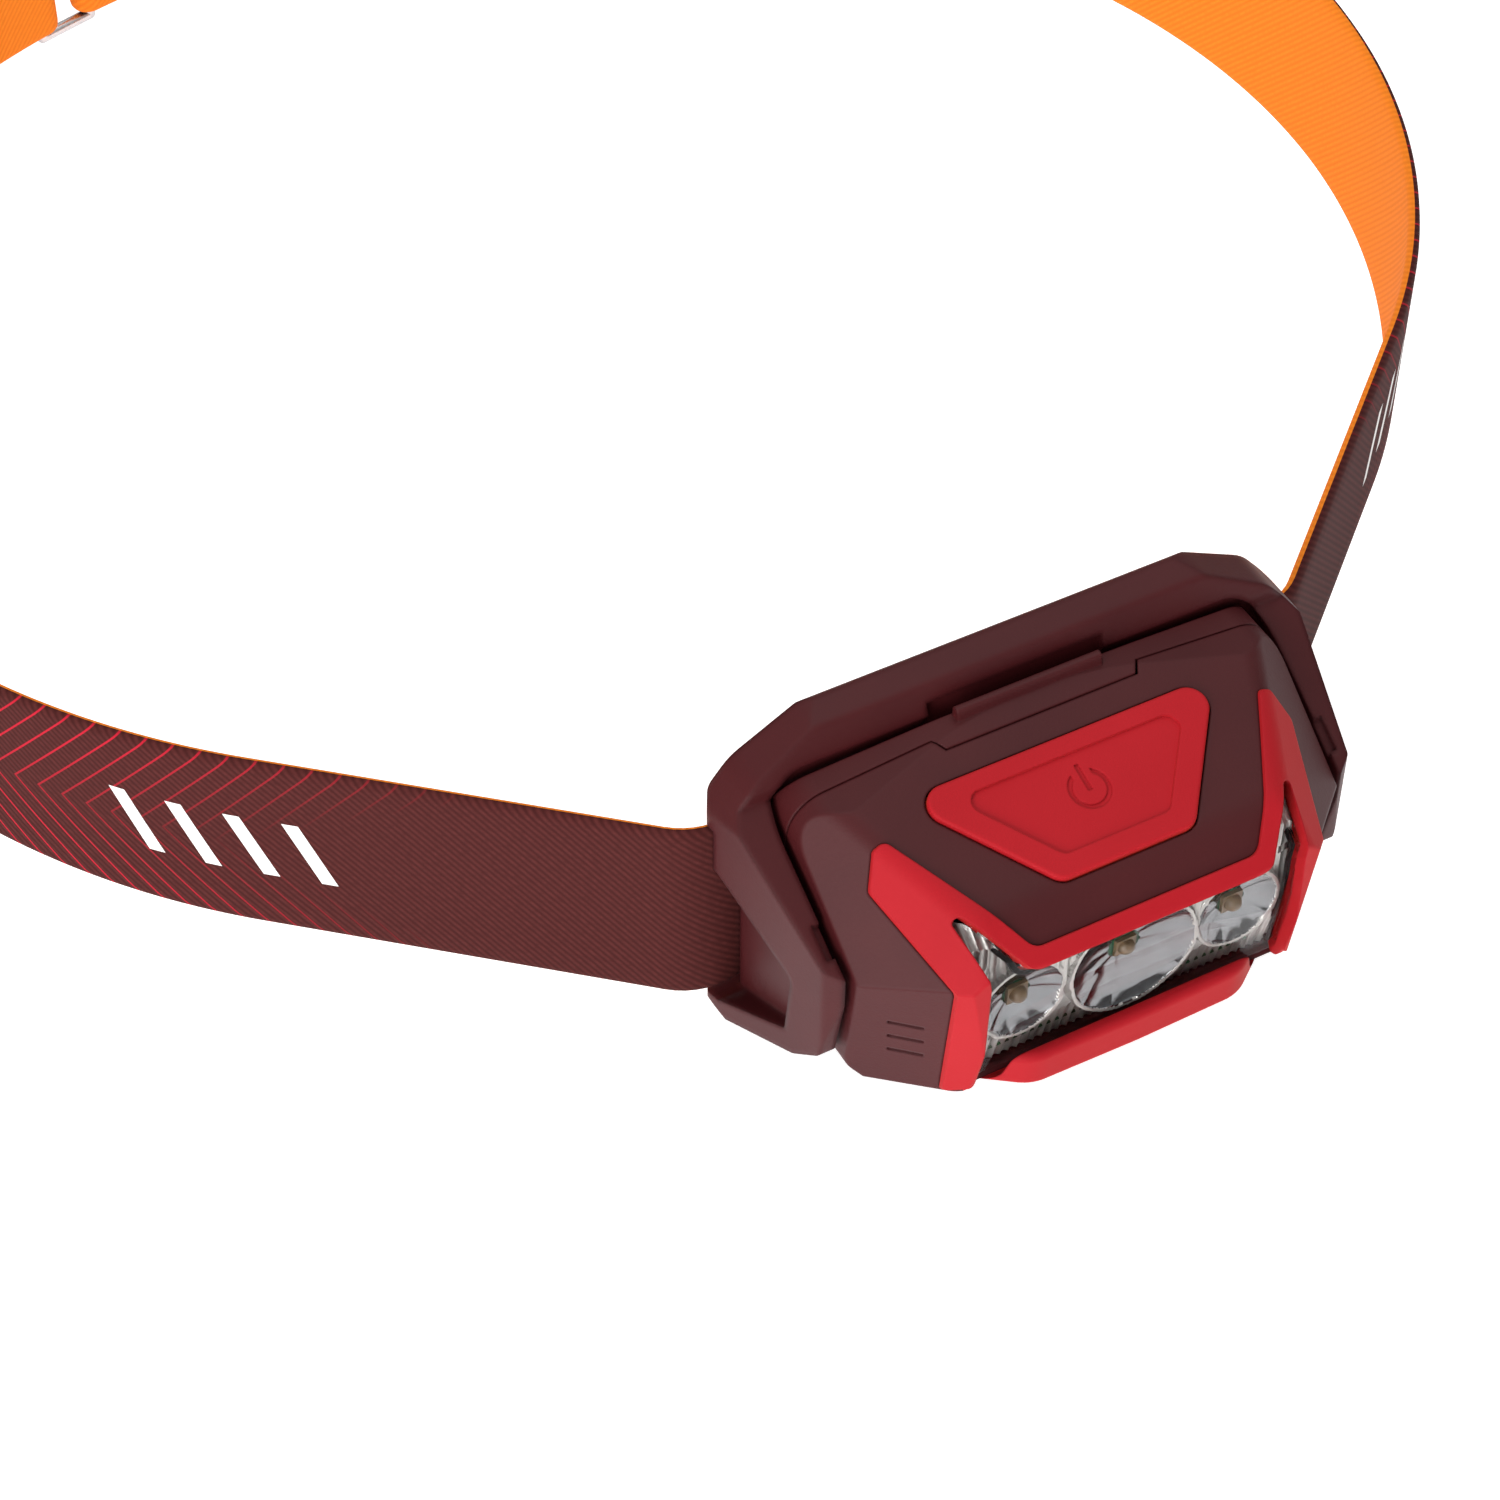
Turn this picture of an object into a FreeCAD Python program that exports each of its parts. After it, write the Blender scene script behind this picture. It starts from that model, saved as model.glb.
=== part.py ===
import FreeCAD, Part
import math
import os

V = FreeCAD.Vector

# ---------------------------------------------------------------- driving sizes (mm)
# Headband, measured to the faces of the webbing.
BAND_WIDTH = 25.0            # webbing width, a standard size
BAND_THICKNESS = 1.5
HEAD_WIDTH = 204.4           # widest opening between the inner faces
BAND_SIDE_RADIUS = HEAD_WIDTH * 0.4500978    # round the temples, outer face
BAND_BACK_RADIUS = HEAD_WIDTH * 0.5283757    # round the back of the head, outer face
BAND_FLARE = 41.0            # degrees, how steeply the band leaves the bracket
BAND_BEND_RADIUS = 8.0       # bend where it leaves the bracket, outer face

# Lamp body, in the lamp's own frame: X right, Y back, Z up from the band's middle.
BODY_HALF_WIDTH = 28.8
BODY_BACK = 17.1
BODY_TOP = 20.3
BODY_BOTTOM = -12.9
BODY_WALL = 1.2
SHOULDER_BLEND = 4.0         # between the button panel and the shoulder facets
EDGE_SOFTNESS = 0.5
SEAM_Y = 12.7                # where front shell and rear case meet
SEAM_GAP = 0.2
SEAM_KNEE_Z = -4.0           # below this the seam slants forwards to the hinge
SEAM_STEP = 1.5              # the rear case's tab reaches this far forwards
SEAM_STEP_HALF = 11.3
BROW_Y = -11.0               # front edge of the top, over the window
BROW_Z = 9.9
TOP_SLOPE = 17.0             # degrees, fall of the button panel towards the front
RIM_GAP = 0.9                # between lamp body and bracket

# Bracket
BRACKET_HALF_WIDTH = 34.5
CHEEK_FRONT_HALF = 31.5      # outside of the cheeks at the knee
CHEEK_SLOPE = 30.5           # degrees, the cheeks' upper edge
CHEEK_WALL = 1.3
PLATE_FRONT_Y = 17.5
PLATE_THICKNESS = 1.5
BRACKET_BACK = 21.5
RIM_TOP = 23.3
LEDGE_BOTTOM = -15.6
BAND_SLOT_FIT = 0.4          # room round the webbing in the bracket

# Pivots
TILT_Y = 13.9
TILT_Z = -8.5
TILT_PIN_RADIUS = 1.25
OPEN_Y = 8.5
OPEN_Z = -12.9
OPEN_PIN_RADIUS = 0.7
KNUCKLE_RADIUS = 1.5
RUNNING_FIT = 0.05           # radial clearance of a pin that turns

# Red trim and window
TRIM_PROUD = 0.4             # stands out of the shell
TRIM_DEPTH = 0.9             # let into the shell
TRIM_LIP = 0.7               # the trim's return into the window
TRIM_LIP_DEPTH = 2.0
LENS_THICKNESS = 1.0
LENS_RECESS = 1.0            # lens face behind the shell's outer shape

# Button
BUTTON_TRAVEL = 0.8
BUTTON_PROUD = 0.6
BUTTON_FIT = 0.2

# Cells and electronics
CELL_RADIUS = 5.15           # AAA
CELL_LENGTH = 44.5
CELL_ZIGZAG = 5.9            # the middle cell lies this far in front of the others
CELL_GAP = 0.2
BOARD_THICKNESS = 1.0

FAR = 120.0                  # reach of a cutting block, past everything on the lamp


# ---------------------------------------------------------------- drawing helpers
def yz(x):
    """Places a drawing on the plane at x, and likewise for the next two."""
    return lambda u, v: V(x, u, v)


def xz(y):
    return lambda u, v: V(u, y, v)


def xy(z):
    return lambda u, v: V(u, v, z)


def turned(corners):
    """Corners run anticlockwise, whichever way they were listed."""
    area = 0.0
    for (u0, v0, _), (u1, v1, _) in zip(corners, corners[1:] + corners[:1]):
        area += u0 * v1 - u1 * v0
    return corners if area > 0 else corners[::-1]


def grown(corners, by):
    """The same outline with every side moved out by the given amount."""
    corners = turned(corners)
    count = len(corners)
    lines = []
    for i in range(count):
        u0, v0, _ = corners[i]
        u1, v1, _ = corners[(i + 1) % count]
        length = math.hypot(u1 - u0, v1 - v0)
        du, dv = (u1 - u0) / length, (v1 - v0) / length
        lines.append((u0 + dv * by, v0 - du * by, du, dv))
    result = []
    for i in range(count):
        ua, va, da, ea = lines[i - 1]
        ub, vb, db, eb = lines[i]
        cross = da * eb - ea * db
        t = ((ub - ua) * eb - (vb - va) * db) / cross
        radius = corners[i][2]
        if radius > 0:
            radius = max(radius + (by if cross > 0 else -by), 0.05)
        result.append((ua + da * t, va + ea * t, radius))
    return result


def corner_arc(before, corner, after):
    """Start, middle and end of the arc that rounds a corner, or just the corner itself."""
    u, v, radius = corner
    a = V(before[0] - u, before[1] - v, 0)
    b = V(after[0] - u, after[1] - v, 0)
    a.normalize()
    b.normalize()
    half = a.getAngle(b) / 2
    if radius <= 0 or abs(half - math.pi / 2) < 1e-4:
        return [(u, v)]
    middle = a + b
    middle.normalize()
    tangent = radius / math.tan(half)
    inward = radius / math.sin(half) - radius
    return [(u + a.x * tangent, v + a.y * tangent),
            (u + middle.x * inward, v + middle.y * inward),
            (u + b.x * tangent, v + b.y * tangent)]


def wire(corners, place):
    """Closed wire of straight runs, with an arc of the given radius at each corner."""
    count = len(corners)
    arcs = [corner_arc(corners[i - 1], corners[i], corners[(i + 1) % count]) for i in range(count)]
    edges = []
    for i, arc in enumerate(arcs):
        if len(arc) == 3:
            edges.append(Part.Arc(*[place(*point) for point in arc]).toShape())
        head = place(*arc[-1])
        tail = place(*arcs[(i + 1) % count][0])
        if head.distanceToPoint(tail) > 1e-5:
            edges.append(Part.LineSegment(head, tail).toShape())
    return Part.Wire(edges)


def prism_x(corners, x0, x1):
    return Part.Face(wire(corners, yz(x0))).extrude(V(x1 - x0, 0, 0))


def prism_y(corners, y0, y1):
    return Part.Face(wire(corners, xz(y0))).extrude(V(0, y1 - y0, 0))


def prism_z(corners, z0, z1):
    return Part.Face(wire(corners, xy(z0))).extrude(V(0, 0, z1 - z0))


def block(x0, x1, y0, y1, z0, z1):
    return Part.makeBox(x1 - x0, y1 - y0, z1 - z0, V(x0, y0, z0))


def rod_x(radius, x0, x1, y, z):
    return Part.makeCylinder(radius, x1 - x0, V(x0, y, z), V(1, 0, 0))


def beyond(normal, distance):
    """Everything further out than a plane, as one large block."""
    n = V(*normal)
    n.normalize()
    box = Part.makeBox(2 * FAR, 2 * FAR, FAR, V(-FAR, -FAR, 0))
    box.Placement = FreeCAD.Placement(n * distance, FreeCAD.Rotation(V(0, 0, 1), n))
    return box


def mirrored(shape):
    return shape.mirror(V(0, 0, 0), V(1, 0, 0))


def both_sides(shape):
    return [shape, mirrored(shape)]


def cut_all(shape, tools):
    for tool in tools:
        shape = shape.cut(tool)
    return shape


def symmetric(half_corners):
    """An outline from its right half, listed from top to bottom."""
    left = [(-u, v, r) for u, v, r in half_corners[::-1] if abs(u) > 1e-6]
    return half_corners + left


# ---------------------------------------------------------------- lamp body, outer shape
def panel_z(y):
    """Height of the flat button panel at a depth y."""
    return PANEL_Z0 + y * math.tan(math.radians(TOP_SLOPE))


PANEL_Z0 = BODY_TOP - (SEAM_Y + 1.0) * math.tan(math.radians(TOP_SLOPE))
BROW_FOLD_Y = BROW_Y + 4.9
CHIN_Y = BROW_Y + 2.6
CHIN_Z = -9.4
CELL_ROOM = 0.1              # between the outer cells and the wall
CELL_Y = BODY_BACK - BODY_WALL - CELL_ROOM - CELL_RADIUS
CELL_STEP_Z = math.sqrt((2 * CELL_RADIUS + CELL_GAP) ** 2 - CELL_ZIGZAG ** 2)
CELL_LOW_Z = BODY_BOTTOM + BODY_WALL + CELL_ROOM + CELL_RADIUS

SIDE = [
    (BODY_BACK, BODY_BOTTOM, CELL_RADIUS + BODY_WALL),
    (BODY_BACK, BODY_TOP - 5.5, 3.0),
    (BODY_BACK - 2.4, panel_z(BODY_BACK - 2.4), 1.0),
    (BROW_FOLD_Y, panel_z(BROW_FOLD_Y), 6.0),
    (BROW_Y, BROW_Z, 1.0),
    (BROW_Y - 0.6, 4.5, 8.0),
    (CHIN_Y, CHIN_Z, 2.0),
    (1.0, CHIN_Z - 0.6, 5.0),
    (6.5, BODY_BOTTOM, 3.0),
]
FRONT = symmetric([
    (0.0, BODY_TOP + 0.6, 150.0),
    (BODY_HALF_WIDTH, BODY_TOP - 2.0, 4.5),
    (BODY_HALF_WIDTH, -8.0, 3.0),
    (BODY_HALF_WIDTH - 4.6, BODY_BOTTOM, 4.0),
])
PLAN = symmetric([
    (BODY_HALF_WIDTH, BODY_BACK, 2.0),
    (BODY_HALF_WIDTH, BROW_Y + 1.6, 0.0),
    (0.0, BROW_Y - 1.0, 60.0),
])
SHOULDER_NORMAL = V(0.631, -0.462, 0.622)    # facet outside each horn of the window
SHOULDER_AT = 23.1
CHEEKBONE_NORMAL = V(0.672, -0.734, -0.103)  # facet between bracket and side bar
CHEEKBONE_AT = 20.2


def lamp_shape(by=0.0):
    """The closed lamp body, with every face moved out by the given amount."""
    body = prism_x(grown(SIDE, by), -FAR, FAR)
    body = body.common(prism_y(grown(FRONT, by), -FAR, FAR))
    body = body.common(prism_z(grown(PLAN, by), -FAR, FAR))
    for normal, distance in ((SHOULDER_NORMAL, SHOULDER_AT), (CHEEKBONE_NORMAL, CHEEKBONE_AT)):
        for side in (1, -1):
            body = body.cut(beyond((side * normal.x, normal.y, normal.z), distance + by))
    return body


def on_panel(normal):
    return abs(normal.x) < 0.12 and normal.z > 0.9


def on_shoulder(normal):
    return abs(normal.x) > 0.5 and normal.z > 0.5 and normal.y < -0.3


def face_normals(shape, edge):
    """Outward normals of the two faces that meet at an edge, taken at its middle."""
    middle = edge.valueAt((edge.FirstParameter + edge.LastParameter) / 2)
    faces = shape.ancestorsOfType(edge, Part.Face)
    return [face.normalAt(*face.Surface.parameter(middle)) for face in faces]


def soft_lamp(by=0.0):
    """The lamp body with wide blends from panel to shoulders and every other edge softened."""
    body = lamp_shape(by)
    blends = []
    for edge in body.Edges:
        normals = face_normals(body, edge)
        long_edge = edge.Length > SHOULDER_BLEND
        if long_edge and any(map(on_panel, normals)) and any(map(on_shoulder, normals)):
            blends.append(edge)
    body = body.makeFillet(SHOULDER_BLEND, blends)
    return body.makeFillet(EDGE_SOFTNESS, body.Edges)


# ---------------------------------------------------------------- slanting view of the face
# Window, trim and bumper are drawn on a plane that looks back and down at 45 degrees:
# u is X, w is (Y + Z) / sqrt 2, and the prism runs along (Y - Z) / sqrt 2.
ROOT_HALF = math.sqrt(0.5)


def slanting(depth):
    return lambda u, w: V(u, (w + depth) * ROOT_HALF, (w - depth) * ROOT_HALF)


def prism_slanting(corners, front=-40.0, back=1.5):
    length = (back - front) * ROOT_HALF
    return Part.Face(wire(corners, slanting(front))).extrude(V(0, length, -length))


TRIM = symmetric([
    (13.2, 1.2, 2.0),
    (22.2, 15.9, 0.7),
    (23.5, 15.4, 0.8),
    (25.1, 11.6, 1.2),
    (21.7, -0.6, 0.8),
    (21.4, -11.4, 0.8),
    (18.9, -12.0, 0.5),
    (18.6, -1.2, 1.0),
    (20.5, 9.0, 0.6),
    (14.0, -0.95, 2.0),
])
WINDOW = symmetric([
    (14.0, -0.95, 2.0),
    (20.5, 9.0, 0.6),
    (18.6, -1.2, 1.0),
    (18.9, -12.4, 0.5),
])


def layer(outer, inner):
    """The skin between two offsets of the lamp's shape."""
    return lamp_shape(outer).cut(lamp_shape(inner))


def behind_seam(shift, step=False):
    """Space behind the parting surface, moved back by shift, with or without the tab."""
    slope = (SEAM_Y - OPEN_Y) / (SEAM_KNEE_Z - OPEN_Z)
    low = -FAR
    space = prism_x([
        (SEAM_Y + shift, FAR, 0),
        (SEAM_Y + shift, SEAM_KNEE_Z, 0),
        (SEAM_Y + shift - (SEAM_KNEE_Z - low) * slope, low, 0),
        (2 * FAR, low, 0),
        (2 * FAR, FAR, 0),
    ], -FAR, FAR)
    if step:
        half = SEAM_STEP_HALF - shift
        tab = prism_z([
            (half + SEAM_STEP, SEAM_Y + 1.0, 0),
            (half, SEAM_Y - SEAM_STEP + shift, 0),
            (-half, SEAM_Y - SEAM_STEP + shift, 0),
            (-half - SEAM_STEP, SEAM_Y + 1.0, 0),
        ], BODY_TOP / 2, FAR)
        space = space.fuse(tab)
    return space


# ---------------------------------------------------------------- button panel frame
PANEL_COS = math.cos(math.radians(TOP_SLOPE))
PANEL_SIN = math.sin(math.radians(TOP_SLOPE))


def panel_point(u, v, height):
    return V(u, v * PANEL_COS - height * PANEL_SIN, PANEL_Z0 + v * PANEL_SIN + height * PANEL_COS)


def prism_panel(corners, low, high):
    face = Part.Face(wire(corners, lambda u, v: panel_point(u, v, low)))
    rise = high - low
    return face.extrude(V(0, -rise * PANEL_SIN, rise * PANEL_COS))


def rod_panel(radius, u, v, low, high):
    return Part.makeCylinder(radius, high - low, panel_point(u, v, low), V(0, -PANEL_SIN, PANEL_COS))


BUTTON = [(18.6, 8.3, 2.2), (-18.6, 8.3, 2.2), (-7.9, -6.0, 2.2), (7.9, -6.0, 2.2)]
BUTTON_FIELD = [(13.6, 6.2, 1.4), (-13.6, 6.2, 1.4), (-6.2, -3.6, 1.4), (6.2, -3.6, 1.4)]
FIELD_DEPTH = 0.35
FLANGE_REACH = 0.8
FLANGE_TOP = -BODY_WALL - 0.15
FLANGE_BOTTOM = FLANGE_TOP - 0.5
NUB_RADIUS = 2.0
NUB_LENGTH = 0.7
SYMBOL_V = 2.0
SYMBOL_RADIUS = 2.3
SYMBOL_STROKE = 0.5
SYMBOL_DEPTH = 0.2
SYMBOL_GAP = 1.1

SWITCH_TOP = FLANGE_BOTTOM - NUB_LENGTH - BUTTON_TRAVEL - 0.1
SWITCH_HEIGHT = 1.4
SWITCH_HALF = 2.1
PLUNGER_RADIUS = 1.2
PLUNGER_PROUD = 0.5
BOARD_TOP = SWITCH_TOP - SWITCH_HEIGHT


# ---------------------------------------------------------------- hinge between the halves
BARREL_HALF = 6.0            # half the length of the shell's barrel
BARREL_GAP = 0.2
HINGE_HALF = 11.0            # half the length of the whole hinge


def knuckle_spans():
    """X spans of the barrels: one on the shell between two on the rear case."""
    inner = BARREL_HALF + BARREL_GAP
    return {"shell": [(-BARREL_HALF, BARREL_HALF)],
            "case": [(inner, HINGE_HALF), (-HINGE_HALF, -inner)]}


def knuckles(side, extra=0.0):
    return [rod_x(KNUCKLE_RADIUS + extra, x0 - extra, x1 + extra, OPEN_Y, OPEN_Z)
            for x0, x1 in knuckle_spans()[side]]


def front_shell():
    shell = soft_lamp().cut(lamp_shape(-BODY_WALL))
    shell = shell.cut(behind_seam(-SEAM_GAP / 2, step=True))
    shell = cut_all(shell, knuckles("case", BARREL_GAP))
    for barrel in knuckles("shell"):
        shell = shell.fuse(barrel)
    shell = shell.cut(rod_x(OPEN_PIN_RADIUS + RUNNING_FIT, -FAR, FAR, OPEN_Y, OPEN_Z))
    trim_zone = prism_slanting(TRIM).common(layer(2.0, -TRIM_DEPTH))
    shell = shell.cut(trim_zone)
    shell = shell.cut(prism_slanting(grown(WINDOW, TRIM_LIP)))
    shell = shell.cut(prism_panel(grown(BUTTON, BUTTON_FIT), -BODY_WALL - 3.0, 5.0))
    for groove in grip_lines():
        shell = cut_all(shell, both_sides(groove))
    return shell


GRIP_LINES = 3
GRIP_PITCH = 2.4
GRIP_DEPTH = 0.25
GRIP_HALF_LENGTH = 1.9
GRIP_HALF_WIDTH = 0.25
GRIP_X, GRIP_Z = 24.6, -1.2  # middle of the set


def grip_lines():
    """Short parallel grooves on the lower side facet."""
    normal = V(CHEEKBONE_NORMAL)
    normal.normalize()
    across = V(0, 0, 1).cross(normal)
    across.normalize()
    up = normal.cross(across)
    middle = V(GRIP_X, (CHEEKBONE_AT - normal.x * GRIP_X - normal.z * GRIP_Z) / normal.y, GRIP_Z)
    long, wide = GRIP_HALF_LENGTH, GRIP_HALF_WIDTH
    outline = [(long, wide, 0.2), (-long, wide, 0.2), (-long, -wide, 0.2), (long, -wide, 0.2)]
    grooves = []
    for i in range(GRIP_LINES):
        centre = middle + up * (i - (GRIP_LINES - 1) / 2) * GRIP_PITCH - normal * GRIP_DEPTH
        face = Part.Face(wire(outline, lambda u, v: centre + across * u + up * v))
        grooves.append(face.extrude(normal * 1.0))
    return grooves


RIDGE_HALF = 8.6
RIDGE_BASE = BODY_TOP - 0.6
RIDGE_TOP = BODY_TOP + 1.1
BOSS_RADIUS = 2.5
BOSS_LENGTH = 0.9            # past the wall, towards the cells


def rear_case():
    case = layer(0.0, -BODY_WALL).common(behind_seam(SEAM_GAP / 2, step=True))
    case = cut_all(case, knuckles("shell", BARREL_GAP))
    for barrel in knuckles("case"):
        case = case.fuse(barrel.cut(lamp_shape(-BODY_WALL)))
    ridge = prism_x([
        (BODY_BACK - 3.7, RIDGE_BASE, 0.0),
        (BODY_BACK - 2.4, RIDGE_BASE, 0.0),
        (BODY_BACK - 2.4, RIDGE_TOP, 0.4),
        (BODY_BACK - 3.4, RIDGE_TOP, 0.5),
    ], -RIDGE_HALF, RIDGE_HALF)
    case = case.fuse(ridge.cut(lamp_shape(-BODY_WALL / 2)))
    for side in (1, -1):
        inner = BODY_HALF_WIDTH - BODY_WALL - BOSS_LENGTH
        inner, outer = sorted((side * inner, side * BODY_HALF_WIDTH))
        boss = rod_x(BOSS_RADIUS, inner, outer, TILT_Y, TILT_Z)
        boss = boss.common(lamp_shape(-0.2)).common(behind_seam(SEAM_GAP))
        case = case.fuse(boss)
    case = case.cut(rod_x(OPEN_PIN_RADIUS, -FAR, FAR, OPEN_Y, OPEN_Z))
    case = case.cut(rod_x(TILT_PIN_RADIUS + RUNNING_FIT, -FAR, FAR, TILT_Y, TILT_Z))
    return case.cut(case_seal())


SEAL_DEPTH = 0.7
SEAL_FRONT = 0.4             # under the case's outer face
SEAL_BACK = 0.85
SEAL_BREAK = 0.6             # the seal stops this far from the hinge


def case_seal():
    ring = layer(-SEAL_FRONT, -SEAL_BACK)
    slab = behind_seam(SEAM_GAP / 2).cut(behind_seam(SEAM_GAP / 2 + SEAL_DEPTH))
    ring = ring.common(slab)
    return cut_all(ring, knuckles("shell", SEAL_BREAK) + knuckles("case", SEAL_BREAK) + [seam_tab_zone()])


def seam_tab_zone():
    half = SEAM_STEP_HALF + 2 * SEAM_STEP
    return block(-half, half, 0, FAR, BODY_TOP / 2, FAR)


def case_hinge_pin():
    return rod_x(OPEN_PIN_RADIUS, -HINGE_HALF, HINGE_HALF, OPEN_Y, OPEN_Z)


# ---------------------------------------------------------------- face
def red_trim():
    """Overmould round the window, with a lip that turns in to the lens."""
    face = prism_slanting(TRIM).common(soft_lamp(TRIM_PROUD).cut(lamp_shape(-TRIM_DEPTH)))
    lip = prism_slanting(grown(WINDOW, TRIM_LIP)).cut(prism_slanting(WINDOW, -41.0, 3.0))
    return face.fuse(lip.common(layer(0.0, -TRIM_LIP_DEPTH)))


BUMPER_HALF = 18.0
BUMPER_EDGE = 0.9
BUMPER_TOP = -5.3
BUMPER_BOTTOM = -9.9
BUMPER_PLAN = symmetric([
    (BUMPER_HALF, BROW_Y + 6.5, 0.0),
    (BUMPER_HALF, BROW_Y + 4.4, 1.5),
    (12.6, BROW_Y + 0.4, 5.0),
    (0.0, BROW_Y + 0.2, 60.0),
])


def bottom_bumper():
    bar = prism_z(BUMPER_PLAN, BUMPER_BOTTOM, BUMPER_TOP)
    bar = bar.makeFillet(BUMPER_EDGE, [e for e in bar.Edges if front_rim_edge(e)])
    bar = bar.cut(lamp_shape())
    return bar.cut(prism_slanting(TRIM))


def front_rim_edge(edge):
    """Edges along the top and bottom of the bumper's curved front."""
    box = edge.BoundBox
    flat = box.ZLength < 0.01
    return flat and box.YMin < BROW_Y + 2.0 and box.XLength > 2.0


def window_lens():
    lens = layer(-LENS_RECESS, -LENS_RECESS - LENS_THICKNESS)
    return lens.common(prism_slanting(WINDOW))


GASKET_THICKNESS = 0.4


def lens_gasket():
    front = LENS_RECESS + LENS_THICKNESS
    back = front + GASKET_THICKNESS
    frame = layer(-front, -back)
    ring = prism_slanting(grown(WINDOW, 0.6)).cut(prism_slanting(grown(WINDOW, -0.5), -41.0, 3.0))
    return frame.common(ring)


BOWL_Z = 1.6
BOWL_BACK_Y = -6.5
BOWL_DEPTH = 2.6
LED_HOLE = 1.9
CENTRE_BOWL = (0.0, 7.2)
SIDE_BOWLS = [(12.9, 4.7), (-12.9, 4.7)]
BOWL_MOUTH = 3.0             # straight hollow in front of each bowl
REFLECTOR_BACK_Y = -1.0
LED_BOARD_HALF = 16.0
LED_BOARD_LOW, LED_BOARD_HIGH = -6.0, 7.2
LED_BOARD_GAP = 0.1          # behind the reflector
LED_HALF = 1.2
LED_BASE = 0.5
LED_DOME = 1.0
OPTICS_CLEARANCE = LENS_RECESS + LENS_THICKNESS + GASKET_THICKNESS + 0.05


def bowl(x, radius):
    """Hollow of one reflector, widening forwards along a smooth curve."""
    back = V(x + LED_HOLE, BOWL_BACK_Y, BOWL_Z)
    middle = V(x + LED_HOLE + (radius - LED_HOLE) * 0.66, BOWL_BACK_Y - BOWL_DEPTH * 0.36, BOWL_Z)
    front = V(x + radius, BOWL_BACK_Y - BOWL_DEPTH, BOWL_Z)
    curve = Part.Arc(back, middle, front).toShape()
    axis_back, axis_front = V(x, back.y, BOWL_Z), V(x, front.y - BOWL_MOUTH, BOWL_Z)
    rim = V(x + radius, front.y - BOWL_MOUTH, BOWL_Z)
    section = Part.Wire([curve, Part.LineSegment(front, rim).toShape(),
                         Part.LineSegment(rim, axis_front).toShape(),
                         Part.LineSegment(axis_front, axis_back).toShape(),
                         Part.LineSegment(axis_back, back).toShape()])
    return Part.Face(section).revolve(V(x, 0, BOWL_Z), V(0, 1, 0), 360)


def reflector():
    body = lamp_shape(-OPTICS_CLEARANCE).common(prism_slanting(grown(WINDOW, 0.3)))
    half = LED_BOARD_HALF + 1.0
    body = body.cut(block(-half, half, BOWL_BACK_Y, FAR, -FAR, FAR))
    body = body.cut(block(-FAR, FAR, REFLECTOR_BACK_Y, FAR, -FAR, FAR))
    hollows = [bowl(*CENTRE_BOWL)] + [bowl(x, radius) for x, radius in SIDE_BOWLS]
    body = cut_all(body, hollows)
    for x, _ in [CENTRE_BOWL] + SIDE_BOWLS:
        behind = V(x, BOWL_BACK_Y + 10.0, BOWL_Z)
        body = body.cut(Part.makeCylinder(LED_HOLE, 20.0, behind, V(0, -1, 0)))
    return body


def led_board():
    front = BOWL_BACK_Y + LED_BOARD_GAP
    return block(-LED_BOARD_HALF, LED_BOARD_HALF, front, front + BOARD_THICKNESS,
                 LED_BOARD_LOW, LED_BOARD_HIGH)


def led(x):
    """Square package with a domed lens, facing forwards."""
    half, front = LED_HALF, BOWL_BACK_Y + LED_BOARD_GAP
    package = block(x - half, x + half, front - LED_BASE, front, BOWL_Z - half, BOWL_Z + half)
    ball = Part.makeSphere(LED_DOME, V(x, front - LED_BASE, BOWL_Z))
    return package.fuse(ball.cut(block(x - 5, x + 5, front - LED_BASE, FAR, -FAR, FAR)))


def power_button():
    cap = prism_panel(BUTTON, FLANGE_BOTTOM, BUTTON_PROUD)
    top = [e for e in cap.Edges if all(abs(height_on_panel(v.Point) - BUTTON_PROUD) < 1e-3
                                       for v in e.Vertexes)]
    cap = cap.makeFillet(0.35, top)
    field = prism_panel(BUTTON_FIELD, BUTTON_PROUD - FIELD_DEPTH, BUTTON_PROUD + 1.0)
    cap = cap.cut(field)
    flange = prism_panel(grown(BUTTON, FLANGE_REACH), FLANGE_BOTTOM, FLANGE_TOP)
    cap = cap.fuse(flange.common(lamp_shape(FLANGE_TOP)))
    cap = cap.fuse(rod_panel(NUB_RADIUS, 0, SYMBOL_V, FLANGE_BOTTOM - NUB_LENGTH, FLANGE_BOTTOM))
    return cap.cut(power_symbol())


def height_on_panel(point):
    return (point.z - PANEL_Z0) * PANEL_COS - point.y * PANEL_SIN


def power_symbol():
    """Broken ring with a bar, sunk into the button's field."""
    top = BUTTON_PROUD - FIELD_DEPTH
    low = top - SYMBOL_DEPTH
    ring = rod_panel(SYMBOL_RADIUS, 0, SYMBOL_V, low, top + 0.5)
    ring = ring.cut(rod_panel(SYMBOL_RADIUS - SYMBOL_STROKE, 0, SYMBOL_V, low - 1, top + 1))
    opening = [(-SYMBOL_GAP, SYMBOL_V, 0), (SYMBOL_GAP, SYMBOL_V, 0),
               (SYMBOL_GAP, SYMBOL_V + 4, 0), (-SYMBOL_GAP, SYMBOL_V + 4, 0)]
    ring = ring.cut(prism_panel(opening, low - 1, top + 1))
    half = SYMBOL_STROKE / 2
    bar = [(-half, SYMBOL_V - 0.2, 0), (half, SYMBOL_V - 0.2, 0),
           (half, SYMBOL_V + 2.9, 0), (-half, SYMBOL_V + 2.9, 0)]
    return ring.fuse(prism_panel(bar, low, top + 0.5))


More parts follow.
